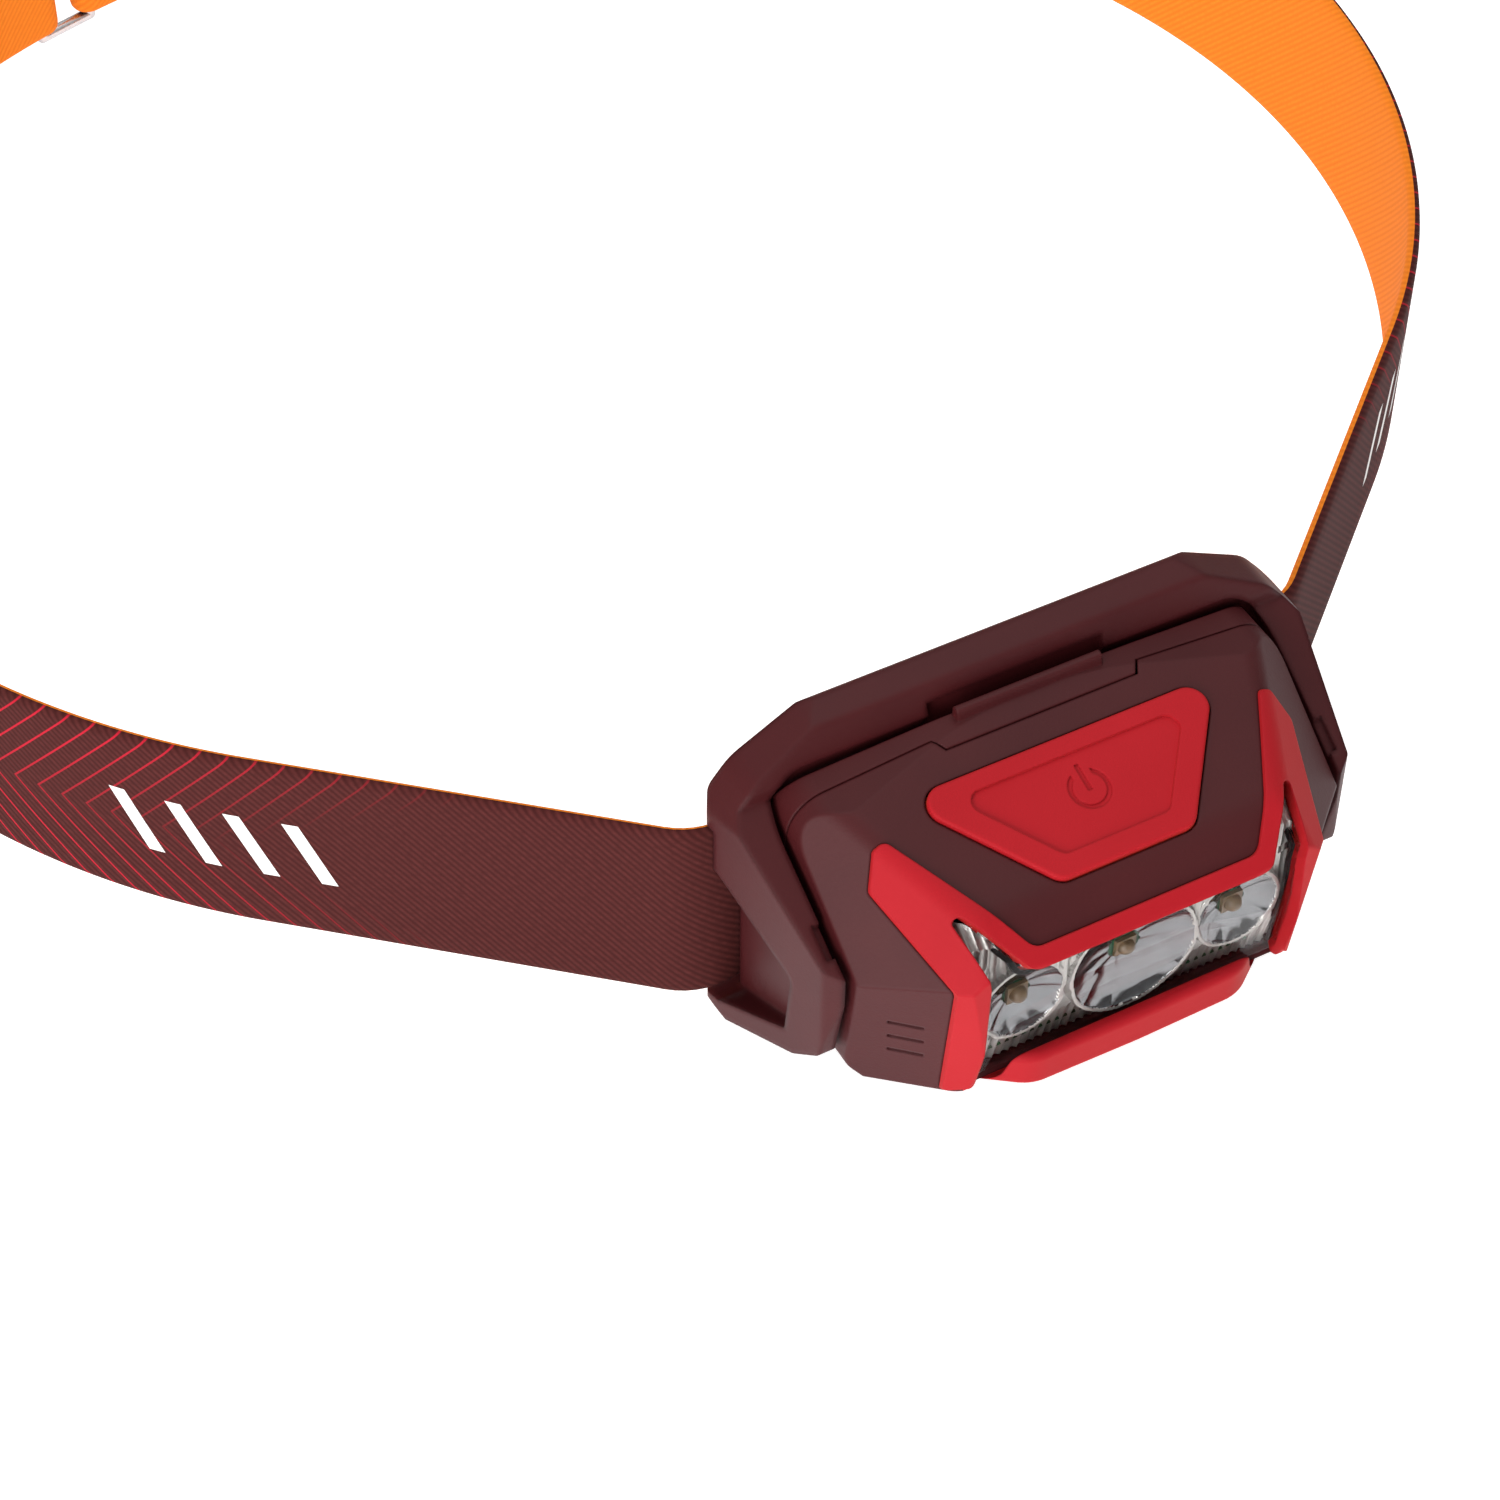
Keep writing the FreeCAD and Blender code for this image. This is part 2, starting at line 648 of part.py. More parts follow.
# ---------------------------------------------------------------- electronics
MAIN_BOARD_HALF = 14.0
MAIN_BOARD_BACK = 2.8
MAIN_BOARD_FRONT = -5.6
SCREW_RADIUS = 0.9
SCREW_X = 12.0
SCREW_HEAD_RADIUS = 1.6 * SCREW_RADIUS
SCREW_HEAD_HEIGHT = 0.7


def main_board():
    outline = [(MAIN_BOARD_HALF, MAIN_BOARD_BACK, 1.0), (-MAIN_BOARD_HALF, MAIN_BOARD_BACK, 1.0),
               (-MAIN_BOARD_HALF, MAIN_BOARD_FRONT, 1.0), (MAIN_BOARD_HALF, MAIN_BOARD_FRONT, 1.0)]
    board = prism_panel(outline, BOARD_TOP - BOARD_THICKNESS, BOARD_TOP)
    return cut_all(board, [screw_shank(x) for x in (-SCREW_X, SCREW_X)])


def screw_shank(x):
    return rod_panel(SCREW_RADIUS, x, 0.0, BOARD_TOP - BOARD_THICKNESS - 1.0, BOARD_TOP + 0.1)


def board_screws():
    screws = []
    for x in (-SCREW_X, SCREW_X):
        head = rod_panel(SCREW_HEAD_RADIUS, x, 0.0, BOARD_TOP, BOARD_TOP + SCREW_HEAD_HEIGHT)
        screws.append(head.fuse(screw_shank(x)))
    return Part.makeCompound(screws)


def tact_switch():
    half = SWITCH_HALF
    outline = [(half, SYMBOL_V + half, 0.2), (-half, SYMBOL_V + half, 0.2),
               (-half, SYMBOL_V - half, 0.2), (half, SYMBOL_V - half, 0.2)]
    body = prism_panel(outline, BOARD_TOP, SWITCH_TOP - PLUNGER_PROUD)
    return body.fuse(rod_panel(PLUNGER_RADIUS, 0, SYMBOL_V, BOARD_TOP, SWITCH_TOP))


# ---------------------------------------------------------------- cells and contacts
CELLS = {
    "battery_top": (CELL_Y, CELL_LOW_Z + 2 * CELL_STEP_Z, 1),
    "battery_middle": (CELL_Y - CELL_ZIGZAG, CELL_LOW_Z + CELL_STEP_Z, -1),
    "battery_bottom": (CELL_Y, CELL_LOW_Z, 1),
}
NUB_CAP = 1.0
POLE_RADIUS = 1.9
STUD_RADIUS = 1.6
SPRING_ROOM = 2.75
PLATE_SHEET = 0.3
PLATE_X = CELL_LENGTH / 2 + SPRING_ROOM
CARRIER_WALL = 1.0
CARRIER_LOW = 0.6            # below the lowest cell's axis
CARRIER_HIGH = 2.2           # above the highest cell's axis
CARRIER_FRONT = 2.6          # in front of the cells' axes
PLATE_MARGIN = 0.6


def battery(y, z, pole):
    """Cell with its positive nub towards +X when pole is 1."""
    half = CELL_LENGTH / 2
    can = rod_x(CELL_RADIUS, -half, half - NUB_CAP, y, z)
    can = can.makeFillet(0.4, can.Edges)
    can = can.fuse(rod_x(POLE_RADIUS, half - NUB_CAP, half, y, z))
    return can if pole > 0 else mirrored(can)


def carrier_outline(margin):
    """Outline round the three cell ends, staggered like the cells."""
    low, high = CELL_LOW_Z - CARRIER_LOW, CELL_LOW_Z + 2 * CELL_STEP_Z + CARRIER_HIGH
    middle = CELL_LOW_Z + CELL_STEP_Z
    back = BODY_BACK - BODY_WALL - 0.02 - margin
    shoulder = CELL_Y - CARRIER_FRONT + margin
    return [(back, low, 0.0), (back, high, 0.0), (shoulder, high, 1.0),
            (shoulder - CELL_ZIGZAG, middle, 2.0), (shoulder, low, 1.0)]


def contact_plate(side):
    """Sheet behind the springs, with a pressed stud for each positive nub."""
    x0, x1 = sorted((side * PLATE_X, side * (PLATE_X + PLATE_SHEET)))
    plate = prism_x(carrier_outline(PLATE_MARGIN), x0, x1)
    for y, z, pole in CELLS.values():
        if pole == side:
            s0, s1 = sorted((side * (CELL_LENGTH / 2), side * (PLATE_X + PLATE_SHEET / 2)))
            plate = plate.fuse(rod_x(STUD_RADIUS, s0, s1, y, z))
    return plate


def contact_carrier(side):
    x0, x1 = sorted((side * (PLATE_X + PLATE_SHEET), side * (PLATE_X + PLATE_SHEET + CARRIER_WALL)))
    return prism_x(carrier_outline(0.0), x0, x1)


SPRING_WIRE = 0.3
SPRING_TURNS = 3
SPRING_RADIUS = 2.2


def contact_spring(side, y, z):
    """Coil between a cell's flat end and the sheet behind it."""
    height = SPRING_ROOM - 2 * SPRING_WIRE
    pitch = height / SPRING_TURNS
    path = Part.makeHelix(pitch, height, SPRING_RADIUS)
    section = Part.Wire([Part.makeCircle(SPRING_WIRE, V(SPRING_RADIUS, 0, 0), V(0, 1, 0))])
    coil = Part.Wire(path).makePipeShell([section], True, True)
    coil.rotate(V(0, 0, 0), V(0, 1, 0), 90)
    coil.translate(V(CELL_LENGTH / 2 + SPRING_WIRE, y, z))
    return coil if side > 0 else mirrored(coil)


def contact_springs():
    return Part.makeCompound([contact_spring(-pole, y, z) for y, z, pole in CELLS.values()])


# ---------------------------------------------------------------- bracket
CHEEK_INSIDE = BODY_HALF_WIDTH + RIM_GAP
RECESS_FLOOR = CHEEK_INSIDE + CHEEK_WALL
PIN_END = RECESS_FLOOR - 0.4
CHEEK_FRONT_Y = -1.9
CHEEK_FRONT_Z = 6.5


def cheek_z(y):
    """Height of the cheeks' sloping upper edge."""
    return CHEEK_FRONT_Z + (y - CHEEK_FRONT_Y) * math.tan(math.radians(CHEEK_SLOPE))


RIM_FRONT_Y = 15.7
BRACKET_SIDE = [
    (BRACKET_BACK, LEDGE_BOTTOM, 1.5),
    (BRACKET_BACK, RIM_TOP + 0.3, 1.0),
    (RIM_FRONT_Y + 1.7, RIM_TOP - 0.6, 0.8),
    (RIM_FRONT_Y, 18.4, 0.0),
    (RIM_FRONT_Y, cheek_z(RIM_FRONT_Y), 0.0),
    (CHEEK_FRONT_Y, CHEEK_FRONT_Z, 1.0),
    (0.4, -5.6, 1.5),
    (4.6, -9.3, 3.0),
    (17.6, LEDGE_BOTTOM, 3.0),
]
BRACKET_FRONT = symmetric([
    (0.0, RIM_TOP + 1.1, 200.0),
    (21.5, RIM_TOP + 0.3, 12.0),
    (30.8, RIM_TOP - 4.2, 6.0),
    (BRACKET_HALF_WIDTH + 0.1, 14.6, 3.0),
    (BRACKET_HALF_WIDTH + 0.1, LEDGE_BOTTOM, 2.5),
])
BRACKET_PLAN = symmetric([
    (20.0, BRACKET_BACK, 40.0),
    (BRACKET_HALF_WIDTH - 1.2, BRACKET_BACK - 0.5, 1.0),
    (BRACKET_HALF_WIDTH, 18.9, 1.0),
    (CHEEK_FRONT_HALF, 0.1, 0.6),
    (28.0, -2.6, 0.0),
])
POCKET = [(17.2, 7.2, 0.6), (5.1, 2.0, 1.2), (6.0, -6.6, 0.8), (17.2, -12.8, 0.0),
          (40.0, -12.8, 0.0), (40.0, 7.2, 0.0)]
NOTCH = [(0.9, 7.2, 0), (4.3, 9.4, 0), (4.3, 14.0, 0), (0.9, 12.0, 0)]
NOTCH_DEPTH = 0.9
PLATE_TOP = 19.5
PLATE_BOTTOM = LEDGE_BOTTOM + 0.5
PLATE_HALF = CHEEK_INSIDE + 1.0
RIM_BOTTOM = 12.0            # the rim's inside follows the lamp above this height
FINGER_HALF = 10.5
FINGER_BOTTOM = 14.0


def bracket():
    frame = prism_x(BRACKET_SIDE, -FAR, FAR)
    frame = frame.common(prism_y(BRACKET_FRONT, -FAR, FAR))
    frame = frame.common(prism_z(BRACKET_PLAN, -FAR, FAR))
    frame = frame.cut(lamp_shape(RIM_GAP))
    frame = frame.cut(block(-CHEEK_INSIDE, CHEEK_INSIDE, -FAR, PLATE_FRONT_Y, -FAR, RIM_BOTTOM))
    plate_back = PLATE_FRONT_Y + PLATE_THICKNESS
    outline = [(-PLATE_HALF, PLATE_BOTTOM, 1), (PLATE_HALF, PLATE_BOTTOM, 1),
               (PLATE_HALF, PLATE_TOP, 1), (-PLATE_HALF, PLATE_TOP, 1)]
    frame = frame.fuse(prism_y(outline, PLATE_FRONT_Y, plate_back))
    frame = frame.cut(block(-FINGER_HALF, FINGER_HALF, 0, RIM_FRONT_Y + 1.5, FINGER_BOTTOM,
                            RIM_TOP - 2.5))
    room = BAND_WIDTH / 2 + BAND_SLOT_FIT
    frame = frame.cut(block(-RECESS_FLOOR, RECESS_FLOOR, plate_back, FAR, -room, room))
    frame = frame.cut(strap_run(BAND_SLOT_FIT))
    for pocket in both_sides(prism_x(POCKET, RECESS_FLOOR, FAR)):
        frame = frame.cut(pocket)
    for notch in both_sides(prism_x(NOTCH, CHEEK_INSIDE - 1, CHEEK_INSIDE + NOTCH_DEPTH)):
        frame = frame.cut(notch)
    return frame.cut(rod_x(TILT_PIN_RADIUS, -PIN_END, PIN_END, TILT_Y, TILT_Z))


def tilt_pin(side):
    inner = BODY_HALF_WIDTH - BODY_WALL - BOSS_LENGTH
    x0, x1 = sorted((side * inner, side * PIN_END))
    return rod_x(TILT_PIN_RADIUS, x0, x1, TILT_Y, TILT_Z)


# ---------------------------------------------------------------- headband
# Half of the band's middle line in plan: behind the plate, out through the slot, a straight
# flare, the arc round the temple and the arc round the back. All runs are tangent.
FLARE = math.radians(BAND_FLARE)
HALF_BAND = BAND_THICKNESS / 2
SIDE_MIDDLE = BAND_SIDE_RADIUS - HALF_BAND
BACK_MIDDLE = BAND_BACK_RADIUS - HALF_BAND
WIDEST = HEAD_WIDTH / 2 + HALF_BAND
STRAP_Y = PLATE_FRONT_Y + PLATE_THICKNESS + 0.2 + HALF_BAND
SLOT_IN = (28.9, STRAP_Y)
SLOT_OUT = (34.9, STRAP_Y - 2.0)
SIDE_CENTRE_X = WIDEST - SIDE_MIDDLE
FLARE_END_X = SIDE_CENTRE_X + SIDE_MIDDLE * math.sin(FLARE)
FLARE_END_Y = SLOT_OUT[1] + (FLARE_END_X - SLOT_OUT[0]) * math.tan(FLARE)
SIDE_CENTRE_Y = FLARE_END_Y + SIDE_MIDDLE * math.cos(FLARE)
BACK_CENTRE_Y = SIDE_CENTRE_Y - math.sqrt((BACK_MIDDLE - SIDE_MIDDLE) ** 2 - SIDE_CENTRE_X ** 2)
BACK_HALF_ANGLE = math.asin(SIDE_CENTRE_X / (BACK_MIDDLE - SIDE_MIDDLE))
HEAD_CENTRE_Y = (STRAP_Y + BACK_CENTRE_Y + BACK_MIDDLE) / 2


def around(centre, radius, angle):
    """Point at an angle measured from straight back, positive towards +X."""
    return (centre[0] + radius * math.sin(angle), centre[1] + radius * math.cos(angle))


def strap_corners(shift):
    """Right half of the run through the slot, moved towards the head by shift."""
    return [(SLOT_IN[0] - shift * 0.2, SLOT_IN[1] + shift, 5.0 + shift),
            (SLOT_OUT[0] - shift * 0.62, SLOT_OUT[1] + shift * 1.16, BAND_BEND_RADIUS - shift)]


def strap_face(shift):
    """Plan curve of one face of the band, as points along half of it and its arcs."""
    flare_end = (FLARE_END_X - shift * math.sin(FLARE), FLARE_END_Y + shift * math.cos(FLARE))
    return strap_corners(shift) + [(flare_end[0], flare_end[1], 0)]


def open_run(points, z):
    """Edges of straight runs with an arc at each inner corner."""
    edges = []
    at = V(*points[0][:2], z)
    for i in range(1, len(points) - 1):
        start, middle, end = [V(u, v, z) for u, v in corner_arc(*points[i - 1:i + 2])]
        edges.append(Part.LineSegment(at, start).toShape())
        edges.append(Part.Arc(start, middle, end).toShape())
        at = end
    edges.append(Part.LineSegment(at, V(*points[-1][:2], z)).toShape())
    return edges


def face_edges(shift, z, stop_angle):
    """Right half of one face of the band, from its middle front to an angle at the back."""
    edges = open_run([(0, STRAP_Y + shift, 0)] + strap_face(shift), z)
    side, back = (SIDE_CENTRE_X, SIDE_CENTRE_Y), (0.0, BACK_CENTRE_Y)
    start = math.pi / 2 + math.pi / 2 - FLARE
    angles = [start, (start + BACK_HALF_ANGLE) / 2, BACK_HALF_ANGLE]
    points = [V(*around(side, SIDE_MIDDLE - shift, a), z) for a in angles]
    edges.append(Part.Arc(*points).toShape())
    angles = [BACK_HALF_ANGLE, (BACK_HALF_ANGLE + stop_angle) / 2, stop_angle]
    points = [V(*around(back, BACK_MIDDLE - shift, a), z) for a in angles]
    edges.append(Part.Arc(*points).toShape())
    return edges


def half_band(stop_angle, extra=0.0):
    """Right half of the webbing, ending square at an angle round the back."""
    low = -BAND_WIDTH / 2 - extra
    outer = face_edges(-HALF_BAND - extra, low, stop_angle)
    inner = face_edges(HALF_BAND + extra, low, stop_angle)
    ends = [Part.LineSegment(outer[i].Vertexes[i].Point, inner[i].Vertexes[i].Point).toShape()
            for i in (0, -1)]
    loop = Part.Wire(Part.__sortEdges__(outer + inner + ends))
    return Part.Face(loop).extrude(V(0, 0, BAND_WIDTH + 2 * extra))


def strap_run(extra):
    """The band near the bracket, with room round it."""
    half = half_band(0.0, extra).common(block(CHEEK_INSIDE - 2.0, 60.0, -FAR, FAR, -FAR, FAR))
    return half.fuse(mirrored(half))


WIRE_RADIUS = 0.8                       # of the ring that joins the band's two ends
LAYER_GAP = 2 * (WIRE_RADIUS + 0.1)     # between the band's two layers behind the head
RING_ANGLE = math.radians(-16.0)
RING_SPAN = 8.0
FLAP_LENGTH = 16.0
SLIDER_ANGLE = math.radians(2.0)
SLIDER_TRAVEL = math.radians(26.0)      # round the back arc
TAIL_MIDDLE = BACK_MIDDLE + BAND_THICKNESS + LAYER_GAP
SLIDER_HALF_ANGLE = 11.0 / BAND_BACK_RADIUS
TAIL_END = SLIDER_ANGLE + SLIDER_TRAVEL + SLIDER_HALF_ANGLE + math.radians(4.0)
BAR_RADIUS_LINE = BACK_MIDDLE + (BAND_THICKNESS + LAYER_GAP) / 2
RING_HALF_ANGLE = RING_SPAN / 2 / BAR_RADIUS_LINE


def back_arc(middle, half_thickness, a0, a1, z0, z1):
    """Curved strip round the back of the head between two angles."""
    centre = V(0, BACK_CENTRE_Y, z0)
    runs = []
    for radius in (middle + half_thickness, middle - half_thickness):
        angles = (a0, (a0 + a1) / 2, a1)
        runs.append([centre + V(radius * math.sin(t), radius * math.cos(t), 0) for t in angles])
    outer = Part.Arc(*runs[0]).toShape()
    inner = Part.Arc(*runs[1]).toShape()
    ends = [Part.LineSegment(runs[0][i], runs[1][i]).toShape() for i in (0, 2)]
    loop = Part.Wire(Part.__sortEdges__([outer, ends[1], inner, ends[0]]))
    return Part.Face(loop).extrude(V(0, 0, z1 - z0))


def wrap(angle, opens_towards):
    """Webbing turned round one bar of the ring, as a half tube."""
    x, y = around((0, BACK_CENTRE_Y), BAR_RADIUS_LINE, angle)
    half = BAND_WIDTH / 2
    outside = LAYER_GAP / 2 + BAND_THICKNESS
    tube = Part.makeCylinder(outside, BAND_WIDTH, V(x, y, -half))
    tube = tube.cut(Part.makeCylinder(LAYER_GAP / 2, BAND_WIDTH, V(x, y, -half)))
    along = V(math.cos(angle), -math.sin(angle), 0) * opens_towards
    eraser = Part.makeBox(20, 20, 60, V(-10, 0, -30))
    eraser.Placement = FreeCAD.Placement(V(x, y, 0), FreeCAD.Rotation(V(0, 1, 0), along))
    return tube.cut(eraser)


def headband():
    half = BAND_WIDTH / 2
    left_bar, right_bar = RING_ANGLE - RING_HALF_ANGLE, RING_ANGLE + RING_HALF_ANGLE
    right = half_band(right_bar)
    left = mirrored(half_band(-left_bar))
    band = right.fuse(left)
    band = band.fuse(wrap(right_bar, 1)).fuse(wrap(left_bar, -1))
    flap = FLAP_LENGTH / TAIL_MIDDLE
    band = band.fuse(back_arc(TAIL_MIDDLE, HALF_BAND, right_bar, TAIL_END, -half, half))
    band = band.fuse(back_arc(TAIL_MIDDLE, HALF_BAND, left_bar - flap, left_bar, -half, half))
    return band


def band_ring():
    """Rectangular wire ring: two upright bars joined above and below the webbing."""
    reach = BAND_WIDTH / 2 + WIRE_RADIUS + 0.6
    corners = []
    for turn in (-RING_HALF_ANGLE, RING_HALF_ANGLE):
        corners.append(around((0, BACK_CENTRE_Y), BAR_RADIUS_LINE, RING_ANGLE + turn))
    (xa, ya), (xb, yb) = corners
    path = [V(xa, ya, -reach), V(xb, yb, -reach), V(xb, yb, reach), V(xa, ya, reach)]
    ring = Part.makeSphere(WIRE_RADIUS, path[0])
    for start, end in zip(path, path[1:] + path[:1]):
        run = end - start
        ring = ring.fuse(Part.makeCylinder(WIRE_RADIUS, run.Length, start, run))
        ring = ring.fuse(Part.makeSphere(WIRE_RADIUS, end))
    return ring.removeSplitter()


SLIDER_BAR = 3.4
SLIDER_FIT = 0.2
SLIDER_RAIL = 2.4
SLIDER_HALF_THICKNESS = 0.7  # of the two bars outside the webbing


def band_slider():
    """Tri-glide: rails above and below, a bar between the layers, two bars outside them."""
    edge = BAND_WIDTH / 2 + SLIDER_FIT
    a0, a1 = SLIDER_ANGLE - SLIDER_HALF_ANGLE, SLIDER_ANGLE + SLIDER_HALF_ANGLE
    bar = SLIDER_BAR / BAND_BACK_RADIUS
    between = BAR_RADIUS_LINE
    outside = TAIL_MIDDLE + HALF_BAND + SLIDER_FIT
    thick = SLIDER_HALF_THICKNESS
    low = between - (LAYER_GAP / 2 - SLIDER_FIT)
    high = outside + 2 * thick
    body = None
    for z0, z1 in ((edge, edge + SLIDER_RAIL), (-edge - SLIDER_RAIL, -edge)):
        rail = back_arc((low + high) / 2, (high - low) / 2, a0, a1, z0, z1)
        body = rail if body is None else body.fuse(rail)
    for start in (a0, a1 - bar):
        body = body.fuse(back_arc(outside + thick, thick, start, start + bar, -edge - 1, edge + 1))
    body = body.fuse(back_arc(between, LAYER_GAP / 2 - SLIDER_FIT, SLIDER_ANGLE - bar / 2,
                              SLIDER_ANGLE + bar / 2, -edge - 1, edge + 1))
    return body


# ---------------------------------------------------------------- all pieces
def build():
    nodes = {
        "bracket": bracket(),
        "tilt_pin_left": tilt_pin(-1),
        "tilt_pin_right": tilt_pin(1),
        "headband": headband(),
        "band_ring": band_ring(),
        "band_slider": band_slider(),
        "rear_case": rear_case(),
        "case_seal": case_seal(),
        "case_hinge_pin": case_hinge_pin(),
        "contact_plate_left": contact_plate(-1),
        "contact_plate_right": contact_plate(1),
        "contact_carrier_left": contact_carrier(-1),
        "contact_carrier_right": contact_carrier(1),
        "contact_springs": contact_springs(),
        "front_shell": front_shell(),
        "red_trim": red_trim(),
        "bottom_bumper": bottom_bumper(),
        "window_lens": window_lens(),
        "lens_gasket": lens_gasket(),
        "reflector": reflector(),
        "led_board": led_board(),
        "led_centre": led(CENTRE_BOWL[0]),
        "led_right": led(SIDE_BOWLS[0][0]),
        "led_left": led(SIDE_BOWLS[1][0]),
        "main_board": main_board(),
        "board_screws": board_screws(),
        "tact_switch": tact_switch(),
        "power_button": power_button(),
    }
    for name, (y, z, pole) in CELLS.items():
        nodes[name] = battery(y, z, pole)
    return nodes


os.makedirs("parts", exist_ok=True)
for name, shape in build().items():
    shape.translate(V(0, -HEAD_CENTRE_Y, 0))
    shape.exportStep("parts/" + name + ".step")
    print(name, len(shape.Solids), "solid", round(shape.Volume, 1), "mm3", shape.isValid())
print("tilt axis", 0, round(TILT_Y - HEAD_CENTRE_Y, 3), TILT_Z)
print("case axis", 0, round(OPEN_Y - HEAD_CENTRE_Y, 3), OPEN_Z)
print("slider axis", 0, round(BACK_CENTRE_Y - HEAD_CENTRE_Y, 3), 0)
print("head centre", round(HEAD_CENTRE_Y, 3))
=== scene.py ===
# %% [markdown]
# # A headlamp on an elastic band
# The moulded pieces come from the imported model, which fixes every size and every joint. This
# lesson gives them their finishes, weaves the headband and presses the reflector, because cloth
# and mirror-bright metal are easier to make here than in a solid modeller.

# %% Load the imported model
import math
import bpy
import numpy as np
from mathutils import Matrix, Vector


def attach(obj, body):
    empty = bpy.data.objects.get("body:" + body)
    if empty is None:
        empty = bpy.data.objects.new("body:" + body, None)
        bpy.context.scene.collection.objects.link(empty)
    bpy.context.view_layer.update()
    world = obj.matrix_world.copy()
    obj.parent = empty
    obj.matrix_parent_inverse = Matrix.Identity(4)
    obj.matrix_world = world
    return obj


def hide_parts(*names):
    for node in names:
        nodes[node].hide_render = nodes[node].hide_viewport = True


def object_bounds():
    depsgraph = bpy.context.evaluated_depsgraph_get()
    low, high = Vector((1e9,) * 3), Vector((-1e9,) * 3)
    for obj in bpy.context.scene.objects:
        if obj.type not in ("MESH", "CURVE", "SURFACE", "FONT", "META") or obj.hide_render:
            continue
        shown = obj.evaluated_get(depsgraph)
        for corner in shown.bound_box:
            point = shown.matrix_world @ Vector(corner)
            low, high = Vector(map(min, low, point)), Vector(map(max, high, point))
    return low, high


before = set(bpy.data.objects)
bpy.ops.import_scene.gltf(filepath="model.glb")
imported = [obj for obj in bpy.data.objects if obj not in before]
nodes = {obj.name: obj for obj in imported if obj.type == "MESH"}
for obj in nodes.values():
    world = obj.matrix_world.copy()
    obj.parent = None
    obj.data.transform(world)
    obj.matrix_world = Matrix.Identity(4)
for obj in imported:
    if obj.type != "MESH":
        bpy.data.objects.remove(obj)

cad_box = [list(corner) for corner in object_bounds()]
MM = 0.001
print("pieces from the packed model:", len(nodes))

# %% [markdown]
# A product picture is taken with a long lens from above and to one side. The camera's place
# and turn are written as numbers, in metres and degrees, so the picture never shifts.

# %% Camera
CAMERA_PLACE = (-0.1572555, -0.3290203, 0.2988838)
FOCAL_LENGTH, SENSOR_WIDTH = 92.22, 36.0
AZIMUTH, ELEVATION, ROLL = math.radians(-28.99286), math.radians(46.48118), math.radians(0.45190)
right = Vector((math.cos(AZIMUTH), math.sin(AZIMUTH), 0.0))
back = Vector((math.sin(AZIMUTH) * math.cos(ELEVATION), -math.cos(AZIMUTH) * math.cos(ELEVATION),
               math.sin(ELEVATION)))
up = back.cross(right)
rolled_right = right * math.cos(ROLL) + up * math.sin(ROLL)
rolled_up = up * math.cos(ROLL) - right * math.sin(ROLL)
turn = Matrix((rolled_right, rolled_up, back)).transposed().to_4x4()
lens_data = bpy.data.cameras.new("camera")
lens_data.lens = FOCAL_LENGTH
lens_data.sensor_width = SENSOR_WIDTH
camera = bpy.data.objects.new("camera", lens_data)
camera.matrix_world = Matrix.Translation(CAMERA_PLACE) @ turn
bpy.context.scene.collection.objects.link(camera)
bpy.context.scene.camera = camera
print("camera looks down", round(math.degrees(ELEVATION), 1), "degrees")

# %% [markdown]
# Shaders are small graphs. A picked colour is in sRGB and shaders count in linear light, so one
# function converts it. A second one adds a node and wires it up, whatever kind it is, and a
# third starts each material from its plain values.

# %% Three helpers for materials
def linear(hex_colour, alpha=1.0):
    """An sRGB hex colour as the linear values that shaders use."""
    values = [int(hex_colour[i:i + 2], 16) / 255 for i in (1, 3, 5)]
    return [v / 12.92 if v <= 0.04045 else ((v + 0.055) / 1.055) ** 2.4 for v in values] + [alpha]


def add(tree, kind, inputs=None, **settings):
    """Adds a node, sets its settings, and links or fills its inputs."""
    node = tree.nodes.new(kind)
    for name, value in settings.items():
        setattr(node, name, value)
    for socket, value in (inputs or {}).items():
        if isinstance(value, bpy.types.NodeSocket):
            tree.links.new(value, node.inputs[socket])
        else:
            node.inputs[socket].default_value = value
    return node


def new_material(name, **shader_values):
    """A material with one Principled shader, whose plain values are set on its own sockets."""
    material = bpy.data.materials.new(name)
    material.use_nodes = True
    shader = material.node_tree.nodes["Principled BSDF"]
    for socket, value in shader_values.items():
        shader.inputs[socket.replace("_", " ")].default_value = value
    return material, material.node_tree, shader


# %% [markdown]
# The studio is a white floor under a white sky that is dim near the horizon and bright overhead,
# as a tent of white cloth is. The floor also glows a little, so it stays white while the object
# keeps its dark colours. It is a plain square, with a faint paper grain.

# %% Floor and sky
FLOOR_HALF = 4.0
FLOOR_Z = cad_box[0][2] - 0.5 * MM
corners = [(-FLOOR_HALF, -FLOOR_HALF), (FLOOR_HALF, -FLOOR_HALF), (FLOOR_HALF, FLOOR_HALF),
           (-FLOOR_HALF, FLOOR_HALF)]
floor_mesh = bpy.data.meshes.new("floor")
floor_mesh.from_pydata([(x, y, FLOOR_Z) for x, y in corners], [], [(0, 1, 2, 3)])
floor = bpy.data.objects.new("floor", floor_mesh)
bpy.context.scene.collection.objects.link(floor)
paper, paper_tree, paper_shader = new_material("white_paper", Roughness=0.9, Emission_Strength=0.62)
paper_shader.inputs["Emission Color"].default_value = linear("#FFFFFF")
grain = add(paper_tree, "ShaderNodeTexNoise", {"Scale": 40.0, "Detail": 2.0})
tint = add(paper_tree, "ShaderNodeMixRGB", {"Fac": grain.outputs["Fac"], "Color1": linear("#FAFAFA"),
                                            "Color2": linear("#FFFFFF")})
paper_tree.links.new(tint.outputs["Color"], paper_shader.inputs["Base Color"])
floor_mesh.materials.append(paper)

